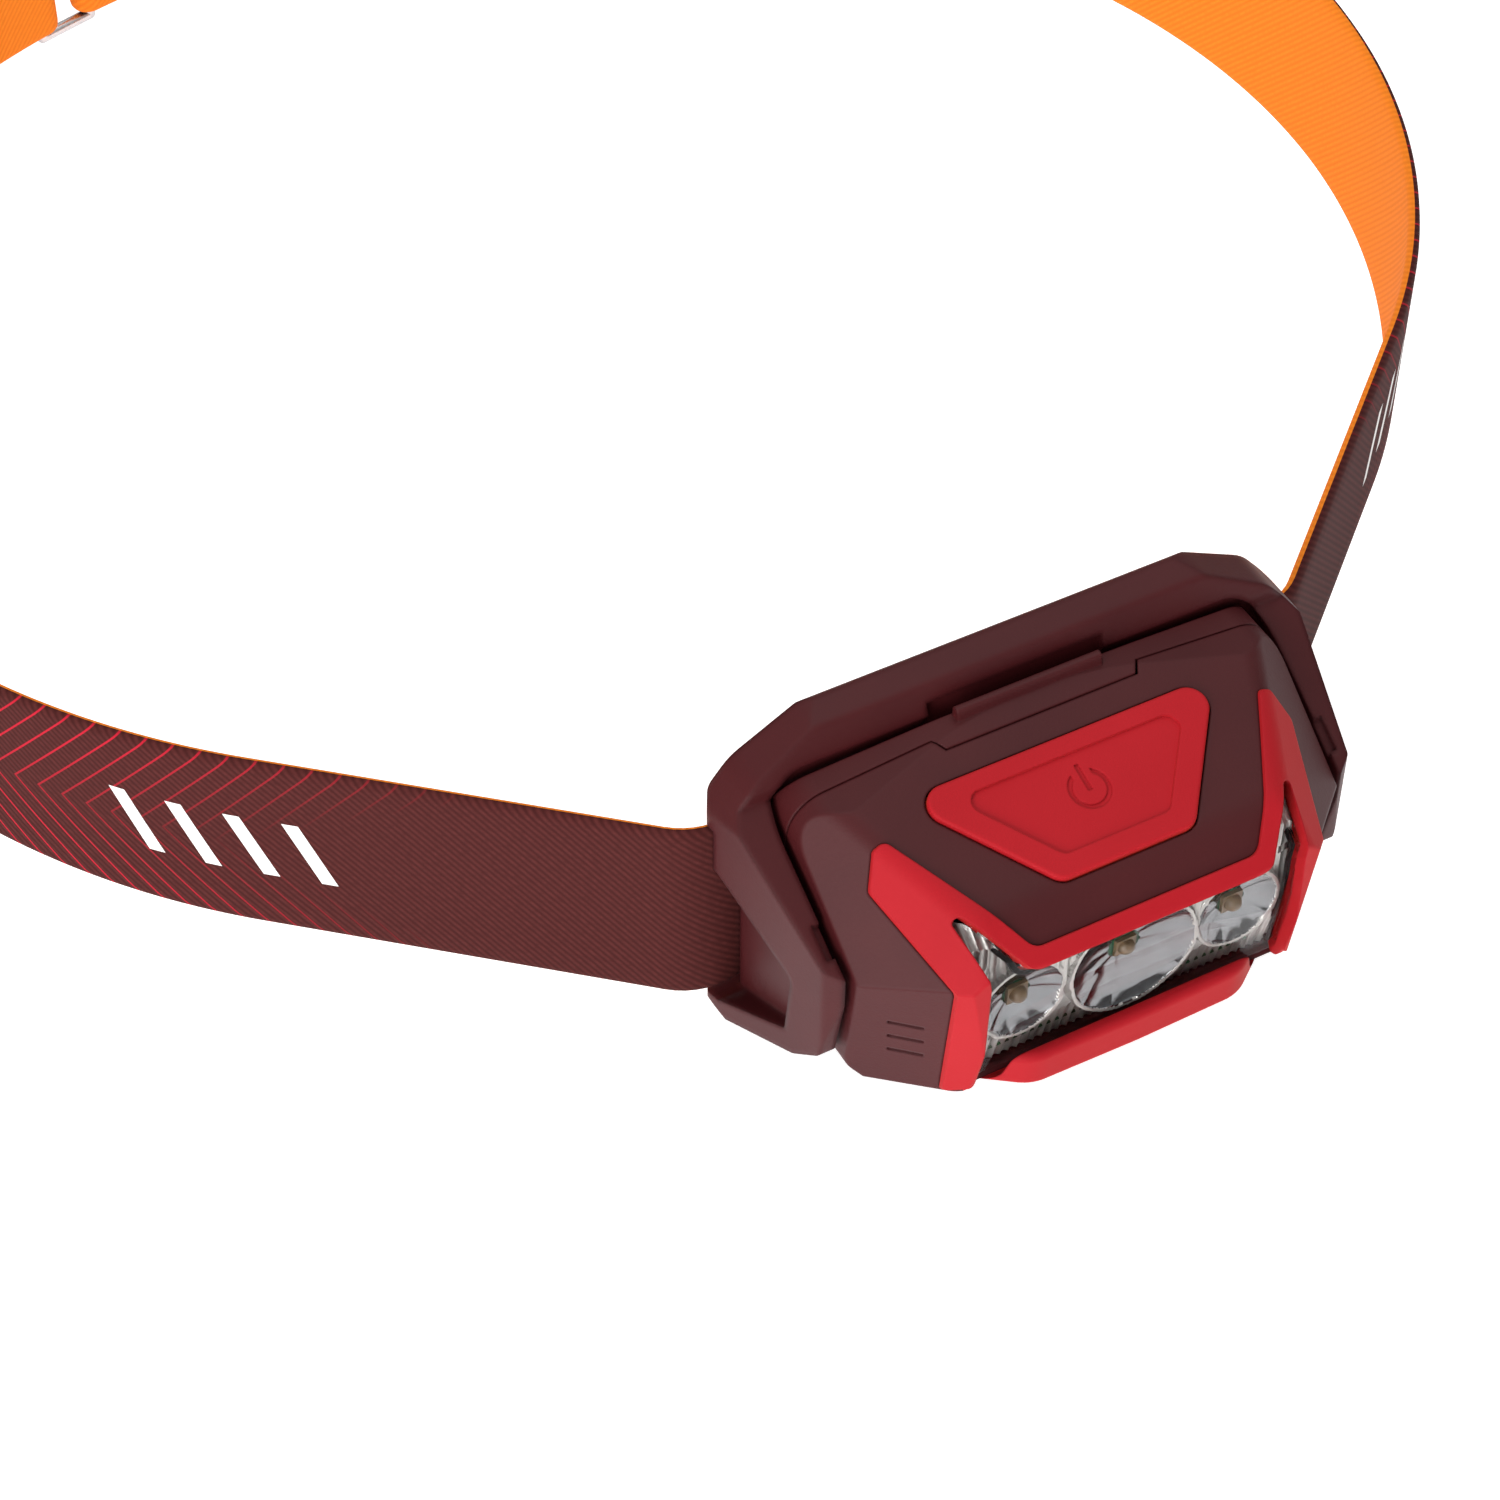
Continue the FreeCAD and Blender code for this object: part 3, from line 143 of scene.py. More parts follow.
world = bpy.data.worlds.new("white_sky")
world.use_nodes = True
world.node_tree.nodes["Background"].inputs["Color"].default_value = linear("#FFFFFF")
sky_direction = add(world.node_tree, "ShaderNodeTexCoord").outputs["Generated"]
sky_height = add(world.node_tree, "ShaderNodeSeparateXYZ", {"Vector": sky_direction}).outputs["Z"]
sky_strength = add(world.node_tree, "ShaderNodeMapRange",
                   {"Value": sky_height, "From Min": 0.1, "From Max": 0.8, "To Min": 0.15,
                    "To Max": 0.85})
world.node_tree.links.new(sky_strength.outputs["Result"],
                          world.node_tree.nodes["Background"].inputs["Strength"])
bpy.context.scene.view_settings.view_transform = "Standard"
bpy.context.scene.world = world
print("floor at", round(FLOOR_Z * 1000, 1), "mm")

# %% [markdown]
# Two square area lights do the modelling. The stronger one stands low on the left, so the left
# faces are the brighter ones. The other hangs overhead and lifts the upper faces a little. Big
# lights close to the object give soft shadow edges.

# %% Lights
LIGHT_AIM = Vector((0.0, -0.10, 0.0))
SOFT_LIGHTS = {
    "key_left": ((-0.55, -0.45, 0.20), 4.5, 0.40),
    "fill_top": ((0.10, 0.05, 0.75), 1.5, 0.50),
}
for name, (place, power, size) in SOFT_LIGHTS.items():
    light_data = bpy.data.lights.new(name, "AREA")
    light_data.energy = power
    light_data.size = size
    light = bpy.data.objects.new(name, light_data)
    aim = (LIGHT_AIM - Vector(place)).to_track_quat("-Z", "Y")
    light.matrix_world = Matrix.Translation(place) @ aim.to_matrix().to_4x4()
    bpy.context.scene.collection.objects.link(light)
print("lights:", ", ".join(SOFT_LIGHTS))

# %% [markdown]
# The shell is ABS, moulded in a spark-eroded tool that leaves a fine even grain. The grain
# scatters the light, so the plastic looks matt. Moulded edges are never quite sharp, and a Bevel
# node rounds them in the shading: by a third of a millimetre, or by a whole one on the bracket.
# The red rubber has a short nap, so it catches a thin warm light where it turns away.

# %% Moulded plastic and soft-touch rubber
DRIFT_SIZE = 12


def grained(name, hex_dark, hex_light, grain_mm, depth_mm, edge_mm, **shader_values):
    """A moulded finish: a fine grain in the bump, and a slow drift between two close colours."""
    material, tree, shader = new_material(name, **shader_values)
    where = add(tree, "ShaderNodeTexCoord").outputs["Object"]
    drift = add(tree, "ShaderNodeTexNoise", {"Vector": where, "Scale": 1 / (DRIFT_SIZE * MM),
                                             "Detail": 2.0})
    colour = add(tree, "ShaderNodeMixRGB", {"Fac": drift.outputs["Fac"], "Color1": linear(hex_dark),
                                            "Color2": linear(hex_light)})
    speck = add(tree, "ShaderNodeTexNoise", {"Vector": where, "Scale": 1 / (grain_mm * MM),
                                             "Detail": 3.0, "Roughness": 0.6})
    edge = add(tree, "ShaderNodeBevel", {"Radius": edge_mm * MM}, samples=6)
    bump = add(tree, "ShaderNodeBump", {"Height": speck.outputs["Fac"], "Strength": 0.35,
                                        "Distance": depth_mm * MM, "Normal": edge.outputs["Normal"]})
    tree.links.new(colour.outputs["Color"], shader.inputs["Base Color"])
    tree.links.new(bump.outputs["Normal"], shader.inputs["Normal"])
    return material


ABS = dict(Roughness=0.50, IOR=1.53, Specular_IOR_Level=0.16)
NAP = dict(Specular_IOR_Level=0.15, Sheen_Weight=0.12, Sheen_Roughness=0.45,
           Sheen_Tint=linear("#FF7A2E"))
burgundy = grained("abs_spark_eroded_burgundy", "#3B1114", "#471719", 0.35, 0.05, 0.35, **ABS)
burgundy_broad = grained("abs_spark_eroded_burgundy_broad", "#3B1114", "#471719", 0.35, 0.05, 1.0,
                         **ABS)
soft_red = grained("soft_touch_rubber_red", "#9A0E19", "#A6131F", 0.30, 0.04, 0.30,
                   Roughness=0.62, IOR=1.50, **NAP)
button_red = grained("silicone_rubber_red", "#9F111B", "#AB1822", 0.22, 0.06, 0.30,
                     Roughness=0.60, IOR=1.45, **NAP)
black_plastic = grained("nylon_black", "#0C0C0D", "#141415", 0.30, 0.03, 0.15, Roughness=0.5,
                        IOR=1.53)
seal_rubber = grained("seal_rubber_black", "#0A0A0A", "#101010", 0.40, 0.03, 0.10, Roughness=0.75,
                      IOR=1.50)
slider_plastic = grained("acetal_dark_red", "#30181A", "#3A1D20", 0.30, 0.03, 0.35, Roughness=0.42,
                         IOR=1.48)
board_green = grained("solder_mask_green", "#0E3B22", "#124628", 0.50, 0.02, 0.05, Roughness=0.35,
                      IOR=1.50)
cell_sleeve = grained("pvc_sleeve_grey", "#55585C", "#606469", 0.60, 0.01, 0.10, Roughness=0.30,
                      IOR=1.53)
print("moulded finishes: 9")

# %% [markdown]
# Pins, springs and contacts are plated steel. The reflector has a skin of aluminium: almost a
# mirror in its dishes, and greyer where it lies over a satin surface. A metal takes its look from
# its roughness, so a fine noise changes that a little from place to place. The lamps show the
# amber of their phosphor. The window is clear and thin, so it bends the view very little.

# %% Metals, phosphor and glass
def plated(name, hex_colour, roughness, mark_mm, hex_bright="#D8D8DA"):
    """Plated metal whose roughness changes a little along fine marks."""
    material, tree, shader = new_material(name, Metallic=1.0)
    where = add(tree, "ShaderNodeTexCoord").outputs["Object"]
    marks = add(tree, "ShaderNodeTexNoise", {"Vector": where, "Scale": 1 / (mark_mm * MM),
                                             "Detail": 4.0})
    spread = add(tree, "ShaderNodeMapRange", {"Value": marks.outputs["Fac"],
                                              "To Min": roughness * 0.7, "To Max": roughness * 1.3})
    tree.links.new(spread.outputs["Result"], shader.inputs["Roughness"])
    tone = add(tree, "ShaderNodeMixRGB", {"Fac": marks.outputs["Fac"], "Color1": linear(hex_colour),
                                          "Color2": linear(hex_bright)})
    tree.links.new(tone.outputs["Color"], shader.inputs["Base Color"])
    return material


steel = plated("nickel_plated_steel", "#B4B4B6", 0.28, 0.6)
mirror_metal = plated("vacuum_aluminium", "#6A6B6D", 0.16, 3.0, "#8C8C8E")
satin_metal = grained("aluminium_over_satin", "#8E8B88", "#B4B1AD", 0.50, 0.02, 0.02, Roughness=0.30,
                      IOR=1.5, Metallic=0.55)
phosphor = grained("phosphor_amber", "#5A4631", "#6E573A", 0.30, 0.02, 0.05, Roughness=0.4, IOR=1.5)
clear, clear_tree, clear_shader = new_material("polycarbonate_clear", Roughness=0.02, IOR=1.06)
clear_shader.inputs["Transmission Weight"].default_value = 1.0
clear_where = add(clear_tree, "ShaderNodeTexCoord").outputs["Object"]
clear_flow = add(clear_tree, "ShaderNodeTexNoise", {"Vector": clear_where, "Scale": 1 / (9 * MM)})
clear_tint = add(clear_tree, "ShaderNodeMixRGB", {"Fac": clear_flow.outputs["Fac"],
                                                  "Color1": linear("#FBFBFB"),
                                                  "Color2": linear("#FFFFFF")})
clear_tree.links.new(clear_tint.outputs["Color"], clear_shader.inputs["Base Color"])
print("metals and glass ready")

# %% [markdown]
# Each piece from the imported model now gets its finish. The band and the reflector are missing
# from the list, because they are made afresh below.

# %% Which piece gets which finish
FINISHES = {
    "bracket": burgundy_broad, "front_shell": burgundy, "rear_case": burgundy,
    "red_trim": soft_red, "bottom_bumper": soft_red, "power_button": button_red,
    "window_lens": clear, "lens_gasket": seal_rubber, "case_seal": seal_rubber,
    "led_board": board_green, "main_board": board_green, "tact_switch": black_plastic,
    "led_centre": phosphor, "led_left": phosphor, "led_right": phosphor,
    "band_ring": steel, "tilt_pin_left": steel, "tilt_pin_right": steel, "case_hinge_pin": steel,
    "board_screws": steel, "contact_springs": steel, "contact_plate_left": steel,
    "contact_plate_right": steel, "contact_carrier_left": black_plastic,
    "contact_carrier_right": black_plastic, "band_slider": slider_plastic,
    "battery_top": cell_sleeve, "battery_middle": cell_sleeve, "battery_bottom": cell_sleeve,
}
for name, finish in FINISHES.items():
    for slot in nodes[name].material_slots:
        slot.material = finish
print("finishes given to", len(FINISHES), "pieces")

# %% [markdown]
# The headband is one piece of 25 mm elastic webbing. It runs behind the bracket's plate, out
# through a slot on each side and round the head; one end is sewn round a wire ring, and the
# other passes through the same ring and comes back through the slider. Its path is written as
# straight runs and arcs in plan, and the webbing's section is swept along it.

# %% The band's path in plan, in millimetres
WIDTH, THICKNESS = 25.0, 1.5
STRAP_Y, SLOT_IN, SLOT_OUT = 19.95, (28.9, 19.95), (34.9, 17.95)
SLOT_IN_RADIUS, SLOT_OUT_RADIUS = 5.0, 8.0
FLARE = math.radians(41.0)
SIDE_RADIUS, BACK_RADIUS, WIDEST = 91.25, 107.25, 102.95
RING_ANGLE, RING_SPAN, LAYER_GAP, FLAP = math.radians(-16.0), 8.0, 1.8, 16.0
TAIL_END = math.radians(32.0) + 11.0 / 108.0
side_x = WIDEST - SIDE_RADIUS
flare_x = side_x + SIDE_RADIUS * math.sin(FLARE)
flare_y = SLOT_OUT[1] + (flare_x - SLOT_OUT[0]) * math.tan(FLARE)
side_y = flare_y + SIDE_RADIUS * math.cos(FLARE)
back_y = side_y - math.sqrt((BACK_RADIUS - SIDE_RADIUS) ** 2 - side_x ** 2)
back_half = math.asin(side_x / (BACK_RADIUS - SIDE_RADIUS))
HEAD_CENTRE_Y = (STRAP_Y + back_y + BACK_RADIUS) / 2
tail_radius = BACK_RADIUS + THICKNESS + LAYER_GAP
bar_radius = BACK_RADIUS + (THICKNESS + LAYER_GAP) / 2
ring_half = RING_SPAN / 2 / bar_radius


ARC_STEP, CORNER_STEPS, FLARE_STEPS, FOLD_STEPS = 1.2, 8, 36, 12


def arc_round(cx, cy, radius, start, stop):
    """Points on an arc; angles are measured from straight back, positive towards +X."""
    count = max(2, int(abs(stop - start) * radius / ARC_STEP))
    return [(cx + radius * math.sin(start + (stop - start) * i / count),
             cy + radius * math.cos(start + (stop - start) * i / count)) for i in range(count + 1)]


def corner_round(before, at, after, radius):
    """Points on the arc that rounds one corner of the path."""
    a = (Vector(before) - Vector(at)).normalized()
    b = (Vector(after) - Vector(at)).normalized()
    half = a.angle(b) / 2
    middle = (a + b).normalized()
    centre = Vector(at) + middle * (radius / math.sin(half))
    start = Vector(at) + a * (radius / math.tan(half)) - centre
    stop = Vector(at) + b * (radius / math.tan(half)) - centre
    sweep = start.angle_signed(stop)
    points = []
    for i in range(CORNER_STEPS + 1):
        swing = -sweep * i / CORNER_STEPS
        points.append((centre.x + start.x * math.cos(swing) - start.y * math.sin(swing),
                       centre.y + start.x * math.sin(swing) + start.y * math.cos(swing)))
    return points


def half_path(bar_angle):
    """Right half of the band: middle of the plate, slot, flare, temple, back, round the bar."""
    path = [(x, STRAP_Y) for x in np.arange(0.0, 26.0, 2.0)]
    path += corner_round((0.0, STRAP_Y), SLOT_IN, SLOT_OUT, SLOT_IN_RADIUS)
    path += corner_round(SLOT_IN, SLOT_OUT, (flare_x, flare_y), SLOT_OUT_RADIUS)
    last = path[-1]
    for i in range(1, FLARE_STEPS):
        share = i / FLARE_STEPS
        path.append((last[0] + (flare_x - last[0]) * share, last[1] + (flare_y - last[1]) * share))
    path += arc_round(side_x, side_y, SIDE_RADIUS, math.pi - FLARE, back_half)
    path += arc_round(0.0, back_y, BACK_RADIUS, back_half, bar_angle)[1:]
    bar = Vector((bar_radius * math.sin(bar_angle), back_y + bar_radius * math.cos(bar_angle)))
    outward = Vector((math.sin(bar_angle), math.cos(bar_angle)))
    onward = Vector((-math.cos(bar_angle), math.sin(bar_angle)))
    reach = (LAYER_GAP + THICKNESS) / 2
    for i in range(1, FOLD_STEPS):
        swing = math.pi * i / FOLD_STEPS
        path.append(tuple(bar - outward * reach * math.cos(swing) + onward * reach * math.sin(swing)))
    return path


right_bar, left_bar = RING_ANGLE + ring_half, RING_ANGLE - ring_half
right_half = half_path(right_bar) + arc_round(0.0, back_y, tail_radius, right_bar, TAIL_END)
left_half = half_path(-left_bar)
left_half += arc_round(0.0, back_y, tail_radius, -left_bar, -left_bar + FLAP / tail_radius)
path = [(-x, y) for x, y in left_half[:0:-1]] + right_half
path = np.array(path)
steps = np.hypot(*np.diff(path, axis=0).T)
keep = np.concatenate([[True], steps > 0.05])
path = path[keep]
along = np.concatenate([[0.0], np.cumsum(np.hypot(*np.diff(path, axis=0).T))])
FRONT_MIDDLE = float(along[np.argmin(np.abs(path[:, 0]) + np.abs(path[:, 1] - STRAP_Y))])
print("webbing cut to", round(along[-1], 1), "mm, lamp at", round(FRONT_MIDDLE, 1), "mm")

# %% [markdown]
# The section is a flat oval with soft selvedges. Its outer face gets the burgundy twill, and
# its inner face and edges the orange one, as the yarns on the two faces differ. The map's two
# axes are millimetres along and across the band, so thread sizes are real ones.

# %% Sweep the webbing
SELVEDGE = 1.2
EDGE_TURNS = (0.35, 0.70, 1.0)


def band_section(height):
    """Flat oval, listed once round: outer face, upper edge, inner face, lower edge."""
    flat, thick = height / 2 - SELVEDGE, THICKNESS / 2
    ring = [(z, thick) for z in np.linspace(-flat, flat, 9)]
    for turn in EDGE_TURNS:
        bend = turn * math.pi / 2
        ring.append((flat + SELVEDGE * math.sin(bend), thick * math.cos(bend)))
    ring += [(z, -n) for z, n in ring[-2::-1]]
    for turn in EDGE_TURNS:
        bend = turn * math.pi / 2
        ring.append((-flat - SELVEDGE * math.sin(bend), -thick * math.cos(bend)))
    for turn in EDGE_TURNS[1::-1]:
        bend = turn * math.pi / 2
        ring.append((-flat - SELVEDGE * math.sin(bend), thick * math.cos(bend)))
    return ring


def swept_band(name, path, along, height):
    """A mesh tube of flat oval section along a plan path, with its map in millimetres."""
    ring = band_section(height)
    count = len(ring)
    tangent = np.gradient(path, axis=0)
    tangent /= np.linalg.norm(tangent, axis=1)[:, None]
    outward = np.stack([tangent[:, 1], -tangent[:, 0]], axis=1)
    verts = []
    for point, out in zip(path, outward):
        for z, n in ring:
            verts.append(((point[0] + out[0] * n) * MM,
                          (point[1] + out[1] * n - HEAD_CENTRE_Y) * MM, z * MM))
    faces = []
    for i in range(len(path) - 1):
        for j in range(count):
            k = (j + 1) % count
            faces.append((i * count + j, (i + 1) * count + j, (i + 1) * count + k, i * count + k))
    faces.append(tuple(range(count)))
    faces.append(tuple(reversed(range((len(path) - 1) * count, len(path) * count))))
    mesh = bpy.data.meshes.new(name)
    mesh.from_pydata(verts, [], faces)
    layer = mesh.uv_layers.new(name="thread")
    for polygon in mesh.polygons:
        places = [divmod(mesh.loops[loop].vertex_index, count) for loop in polygon.loop_indices]
        for loop, (i, j) in zip(polygon.loop_indices, places):
            layer.data[loop].uv = (along[i], ring[j][0])
        outer = sum(ring[j][1] for i, j in places) / len(places) > 0.1 * THICKNESS
        polygon.material_index = 0 if outer else 1
        polygon.use_smooth = len(polygon.vertices) == 4
    return mesh


band_mesh = swept_band("headband_webbing", path, along, WIDTH)
headband = bpy.data.objects.new("headband_webbing", band_mesh)
bpy.context.scene.collection.objects.link(headband)
print("webbing faces:", len(band_mesh.polygons))

# %% [markdown]
# The webbing is a twill: each rib is a float of yarn that steps sideways, so the ribs run on a
# slant. Thin red lines are woven into the burgundy face, and a short row of pale bars is printed
# on each side. All of it is arithmetic on the map: a sine makes ribs, and a ping-pong wave cut at
# a height makes lines of an exact width.

# %% Webbing material
HATCH_PITCH, HATCH_LINE, HATCH_LEAN = 3.0, 0.3, 0.9
HATCH_FADE_START, HATCH_FADE_END, HATCH_FADE_LEAN = 86.0, 122.0, 2.2
BAR_PITCH, BAR_WIDTH, BAR_HEIGHT, BAR_COUNT, BARS_START, BAR_LEAN = 6.4, 1.8, 8.4, 4, 73.6, -0.45
RIB_PITCH = 1.0


def calc(tree, operation, *values):
    """One sum on the map's numbers; each value is a socket or a number."""
    return add(tree, "ShaderNodeMath", dict(enumerate(values)), operation=operation).outputs[0]


def red_hatch(tree, parts):
    """Thin slanting lines that lean opposite ways above and below, and fade towards the lamp."""
    distance = calc(tree, "ABSOLUTE", calc(tree, "SUBTRACT", parts.outputs["X"], FRONT_MIDDLE))
    height = calc(tree, "ABSOLUTE", parts.outputs["Y"])
    slant = calc(tree, "MULTIPLY_ADD", height, HATCH_LEAN, distance)
    line = calc(tree, "LESS_THAN", calc(tree, "PINGPONG", slant, HATCH_PITCH / 2), HATCH_LINE / 2)
    reach = calc(tree, "MULTIPLY_ADD", height, HATCH_FADE_LEAN, distance)
    fade = add(tree, "ShaderNodeMapRange", {"Value": reach, "From Min": HATCH_FADE_START,
                                            "From Max": HATCH_FADE_END})
    return calc(tree, "MULTIPLY", line, fade.outputs["Result"])


def pale_bars(tree, parts):
    """A short row of plain slanting bars, printed in reflective ink on each side."""
    distance = calc(tree, "ABSOLUTE", calc(tree, "SUBTRACT", parts.outputs["X"], FRONT_MIDDLE))
    slant = calc(tree, "MULTIPLY_ADD", parts.outputs["Y"], BAR_LEAN, distance)
    bar = calc(tree, "LESS_THAN", calc(tree, "PINGPONG", slant, BAR_PITCH / 2), BAR_WIDTH / 2)
    near = calc(tree, "GREATER_THAN", slant, BARS_START)
    far = calc(tree, "LESS_THAN", slant, BARS_START + BAR_COUNT * BAR_PITCH)
    middle = calc(tree, "LESS_THAN", calc(tree, "ABSOLUTE", parts.outputs["Y"]), BAR_HEIGHT / 2)
    across = calc(tree, "MULTIPLY", bar, middle)
    return calc(tree, "MULTIPLY", across, calc(tree, "MULTIPLY", near, far))


def twill(name, hex_dark, hex_light, prints=()):
    """Webbing with diagonal ribs; each rib is a float of yarn over the next."""
    material, tree, shader = new_material(name, Roughness=0.85, Specular_IOR_Level=0.12)
    where = add(tree, "ShaderNodeUVMap", uv_map="thread").outputs["UV"]
    parts = add(tree, "ShaderNodeSeparateXYZ", {"Vector": where})
    slant = calc(tree, "ADD", parts.outputs["X"], parts.outputs["Y"])
    rib = calc(tree, "SINE", calc(tree, "MULTIPLY", slant, 2 * math.pi / RIB_PITCH))
    level = add(tree, "ShaderNodeMapRange", {"Value": rib, "From Min": -1.0, "From Max": 1.0})
    fuzz = add(tree, "ShaderNodeTexNoise", {"Vector": where, "Scale": 1.3, "Detail": 3.0})
    share = calc(tree, "MULTIPLY", level.outputs["Result"], fuzz.outputs["Fac"])
    colour = add(tree, "ShaderNodeMixRGB", {"Fac": share, "Color1": linear(hex_dark),
                                            "Color2": linear(hex_light)})
    for print_hex, coverage in prints:
        colour = add(tree, "ShaderNodeMixRGB", {"Fac": coverage(tree, parts),
                                                "Color1": colour.outputs["Color"],
                                                "Color2": linear(print_hex)})
    bump = add(tree, "ShaderNodeBump", {"Height": level.outputs["Result"], "Strength": 0.35,
                                        "Distance": 0.06 * MM})
    tree.links.new(colour.outputs["Color"], shader.inputs["Base Color"])
    tree.links.new(bump.outputs["Normal"], shader.inputs["Normal"])
    return material


PRINTS = [("#A8182A", red_hatch), ("#E6E2E0", pale_bars)]
band_mesh.materials.append(twill("polyester_twill_burgundy", "#3A1413", "#572624", PRINTS))
band_mesh.materials.append(twill("polyester_twill_orange", "#D8731C", "#F08A26"))
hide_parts("headband")
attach(headband, "bracket")
print("webbing materials:", [material.name for material in band_mesh.materials])

# %% [markdown]
# The end that is folded round the wire ring is held by two upright rows of stitches, and the
# free end has one row to stop it fraying. A row repeats the same short thread, so Geometry
# Nodes places it: a line of points, one small thread on each, all turned into plain mesh.

# %% Stitches by Geometry Nodes
STITCH_LENGTH, STITCH_PITCH, THREAD_RADIUS, THREAD_SIDES = 1.9, 2.4, 0.22, 8
STITCH_WANDER, STITCH_SEED = 0.05, 4
EDGE_MARGIN = 1.5
STITCH_COUNT = int((WIDTH - 2 * EDGE_MARGIN) / STITCH_PITCH)
thread, thread_tree, thread_shader = new_material("bonded_nylon_thread", Roughness=0.6)
thread_where = add(thread_tree, "ShaderNodeTexCoord").outputs["Object"]
thread_twist = add(thread_tree, "ShaderNodeTexNoise", {"Vector": thread_where, "Scale": 1 / (0.4 * MM)})
thread_tint = add(thread_tree, "ShaderNodeMixRGB", {"Fac": thread_twist.outputs["Fac"],
                                                    "Color1": linear("#3A1517"),
                                                    "Color2": linear("#5A2226")})
thread_tree.links.new(thread_tint.outputs["Color"], thread_shader.inputs["Base Color"])

rows = bpy.data.node_groups.new("stitch_row", "GeometryNodeTree")
rows.interface.new_socket("Geometry", in_out="INPUT", socket_type="NodeSocketGeometry")
count_socket = rows.interface.new_socket("Stitches", in_out="INPUT", socket_type="NodeSocketInt")
pitch_socket = rows.interface.new_socket("Pitch", in_out="INPUT", socket_type="NodeSocketFloat")
rows.interface.new_socket("Geometry", in_out="OUTPUT", socket_type="NodeSocketGeometry")
given = add(rows, "NodeGroupInput")
gaps = calc(rows, "SUBTRACT", given.outputs["Stitches"], 1.0)
low_end = calc(rows, "MULTIPLY", calc(rows, "MULTIPLY", given.outputs["Pitch"], gaps), -0.5)
start = add(rows, "ShaderNodeCombineXYZ", {"Z": low_end})
stride = add(rows, "ShaderNodeCombineXYZ", {"Z": given.outputs["Pitch"]})
line = add(rows, "GeometryNodeMeshLine", {"Count": given.outputs["Stitches"],
                                          "Start Location": start.outputs[0],
                                          "Offset": stride.outputs[0]})
one = add(rows, "GeometryNodeMeshCylinder", {"Vertices": THREAD_SIDES, "Radius": THREAD_RADIUS * MM,
                                             "Depth": STITCH_LENGTH * MM})
wobble = add(rows, "FunctionNodeRandomValue", {"Seed": STITCH_SEED}, data_type="FLOAT_VECTOR")
wobble.inputs["Min"].default_value = (-STITCH_WANDER,) * 3
wobble.inputs["Max"].default_value = (STITCH_WANDER,) * 3
placed = add(rows, "GeometryNodeInstanceOnPoints", {"Points": line.outputs["Mesh"],
                                                    "Instance": one.outputs["Mesh"],
                                                    "Rotation": wobble.outputs["Value"]})
real = add(rows, "GeometryNodeRealizeInstances", {"Geometry": placed.outputs["Instances"]})
dyed = add(rows, "GeometryNodeSetMaterial", {"Geometry": real.outputs["Geometry"], "Material": thread})
rows.links.new(dyed.outputs["Geometry"], add(rows, "NodeGroupOutput").inputs["Geometry"])


def on_back(radius, angle):
    """Place on an arc round the back of the head, in metres."""
    return Vector((radius * math.sin(angle), back_y + radius * math.cos(angle) - HEAD_CENTRE_Y, 0)) * MM


outer_face = tail_radius + THICKNESS / 2
FLAP_ROWS, TAIL_ROW = (5.0, 13.0), 3.0
ROW_ANGLES = [left_bar - run / tail_radius for run in FLAP_ROWS] + [TAIL_END - TAIL_ROW / tail_radius]
for index, angle in enumerate(ROW_ANGLES):
    carrier = bpy.data.objects.new("carrier", bpy.data.meshes.new("carrier"))
    bpy.context.scene.collection.objects.link(carrier)
    growth = carrier.modifiers.new("row", "NODES")
    growth.node_group = rows
    growth[count_socket.identifier] = STITCH_COUNT
    growth[pitch_socket.identifier] = STITCH_PITCH * MM
    settled = carrier.evaluated_get(bpy.context.evaluated_depsgraph_get())
    row_mesh = bpy.data.meshes.new_from_object(settled)
    row_mesh.transform(Matrix.Translation(on_back(outer_face, angle)))
    bpy.data.objects.remove(carrier)
    row = bpy.data.objects.new("stitches_" + str(index + 1), row_mesh)
    bpy.context.scene.collection.objects.link(row)
    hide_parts("headband")
    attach(row, "bracket")
print("stitches:", STITCH_COUNT * len(ROW_ANGLES))

# %% [markdown]
# The reflector is one moulding with a thin bright metal skin. It follows the inside of the
# lamp's face, with a deep dish for each lamp and fine upright flutes between them. A height
# field makes it: for every place across the face there is one depth, in millimetres. The face is
# the deepest of five planes, a dish is a bowl-shaped power of the distance from its middle, and
# faceting is a small ripple round it.

# %% Reflector depths
BOWL_Z, BOWL_FLOOR = 1.6, -6.4
DISHES = [(0.0, 7.2, 1.9), (12.9, 4.7, 1.6), (-12.9, 4.7, 1.6)]
SMALL_DISHES = [(7.6, -0.6, 2.6), (-7.6, -0.6, 2.6)]
FACE_GAP = 2.6
FLUTE_PITCH, FLUTE_DEPTH = 1.0, 0.32
SMALL_DISH_DEPTH, DISH_POWER, FACET_DEPTH, FACETS = 1.4, 2.2, 0.22, 5
LIP_WIDTH, LIP_RISE = 0.5, 0.15
GRID_X, GRID_Z = (-19.8, 19.8, 265), (-8.2, 12.8, 141)


def face_depth(x, z):
    """Depth of the lamp's inside face behind a place on the front view: the deepest plane wins."""
    front = -12.0 + 1.0 + 0.0035 * x * x
    chin = -11.6 + (4.5 - z) * 0.23
    brow = -11.0 + (z - 9.9) / 0.886
    shoulder = (0.631 * abs(x) + 0.622 * z - 23.1) / 0.462
    cheek = (0.672 * abs(x) - 0.103 * z - 20.2) / 0.734
    return np.maximum.reduce([front, chin, brow, shoulder, cheek]) + FACE_GAP


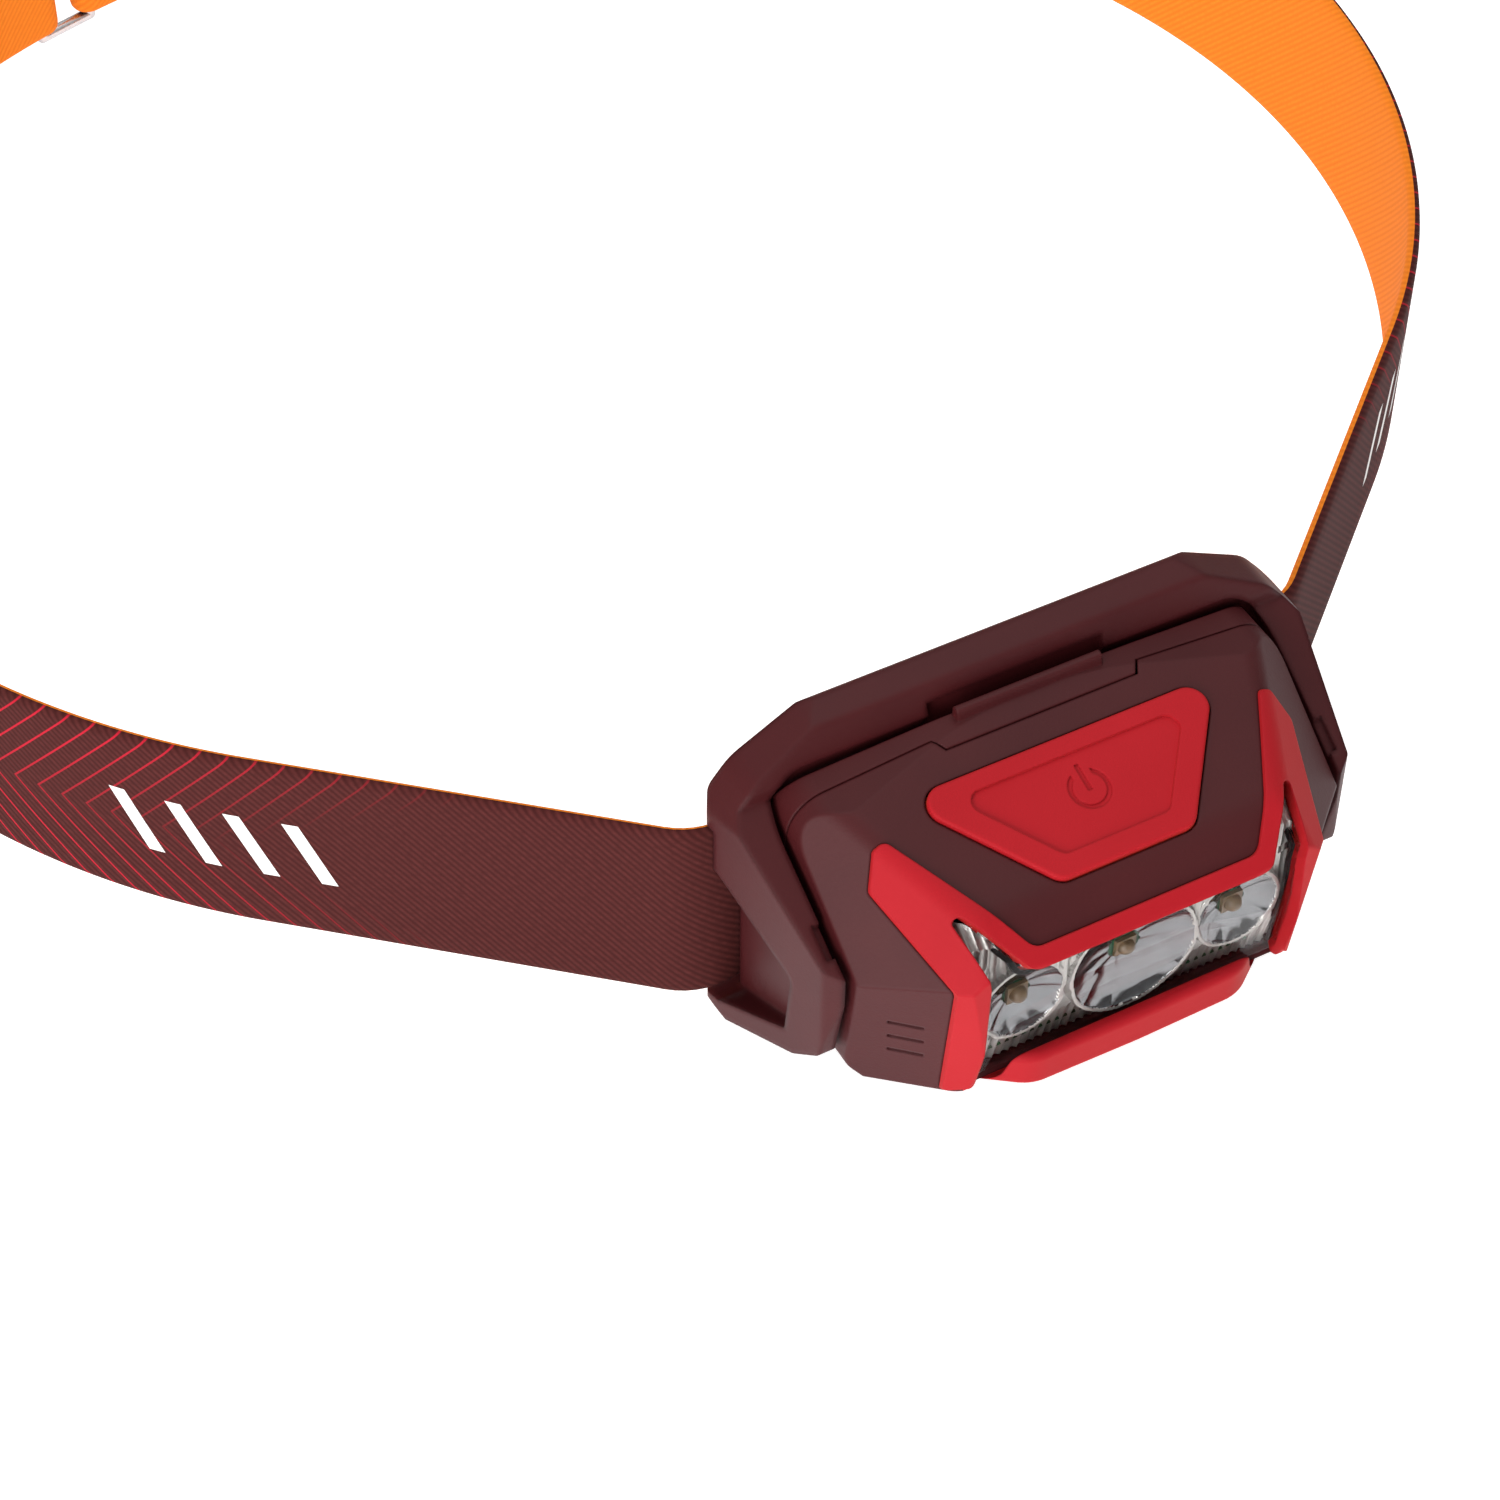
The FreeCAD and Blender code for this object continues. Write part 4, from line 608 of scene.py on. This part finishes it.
xs, zs = np.linspace(*GRID_X), np.linspace(*GRID_Z)
grid_x, grid_z = np.meshgrid(xs, zs)
depth = face_depth(grid_x, grid_z)
depth = depth + FLUTE_DEPTH * np.abs(np.sin(grid_x * math.pi / FLUTE_PITCH))
for cx, cz, radius in SMALL_DISHES:
    r = np.hypot(grid_x - cx, grid_z - cz)
    hollow = SMALL_DISH_DEPTH * (1 - (r / radius) ** 2)
    depth = np.where(r < radius, face_depth(grid_x, grid_z) + hollow, depth)
for cx, radius, _ in DISHES:
    r = np.hypot(grid_x - cx, grid_z - BOWL_Z)
    rim = face_depth(np.array(cx), np.array(BOWL_Z)) - LIP_RISE
    dish = BOWL_FLOOR - (BOWL_FLOOR - rim) * np.clip(r / radius, 0, 1) ** DISH_POWER
    facets = FACET_DEPTH * np.abs(np.sin(FACETS * np.arctan2(grid_z - BOWL_Z, grid_x - cx)))
    depth = np.where(r < radius, dish + facets * (r / radius), depth)
    lip = (r >= radius) & (r < radius + LIP_WIDTH)
    depth = np.where(lip, np.minimum(depth, rim), depth)
print("reflector depth from", round(float(depth.min()), 1), "to", round(float(depth.max()), 1), "mm")

# %% [markdown]
# The depths become a mesh: one corner for each place, four corners to a face, and no face where
# a lamp looks through. Faces inside a dish get the mirror metal and the rest the satin one.

# %% Reflector mesh
verts = [(x * MM, (y - HEAD_CENTRE_Y) * MM, z * MM)
         for x, y, z in zip(grid_x.ravel(), depth.ravel(), grid_z.ravel())]
cols = len(xs)
faces, in_dish = [], []
for row in range(len(zs) - 1):
    for col in range(cols - 1):
        centre_x, centre_z = (xs[col] + xs[col + 1]) / 2, (zs[row] + zs[row + 1]) / 2
        if any(math.hypot(centre_x - cx, centre_z - BOWL_Z) < hole for cx, _, hole in DISHES):
            continue
        a = row * cols + col
        faces.append((a, a + 1, a + cols + 1, a + cols))
        in_dish.append(any(math.hypot(centre_x - cx, centre_z - BOWL_Z) < radius
                           for cx, radius, _ in DISHES))
face_mesh = bpy.data.meshes.new("reflector_face")
face_mesh.from_pydata(verts, [], faces)
face_mesh.materials.append(mirror_metal)
face_mesh.materials.append(satin_metal)
for polygon, bright in zip(face_mesh.polygons, in_dish):
    polygon.material_index = 0 if bright else 1
    polygon.use_smooth = bright
reflector_face = bpy.data.objects.new("reflector_face", face_mesh)
bpy.context.scene.collection.objects.link(reflector_face)
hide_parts("reflector")
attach(reflector_face, "front")
print("reflector faces:", len(faces))
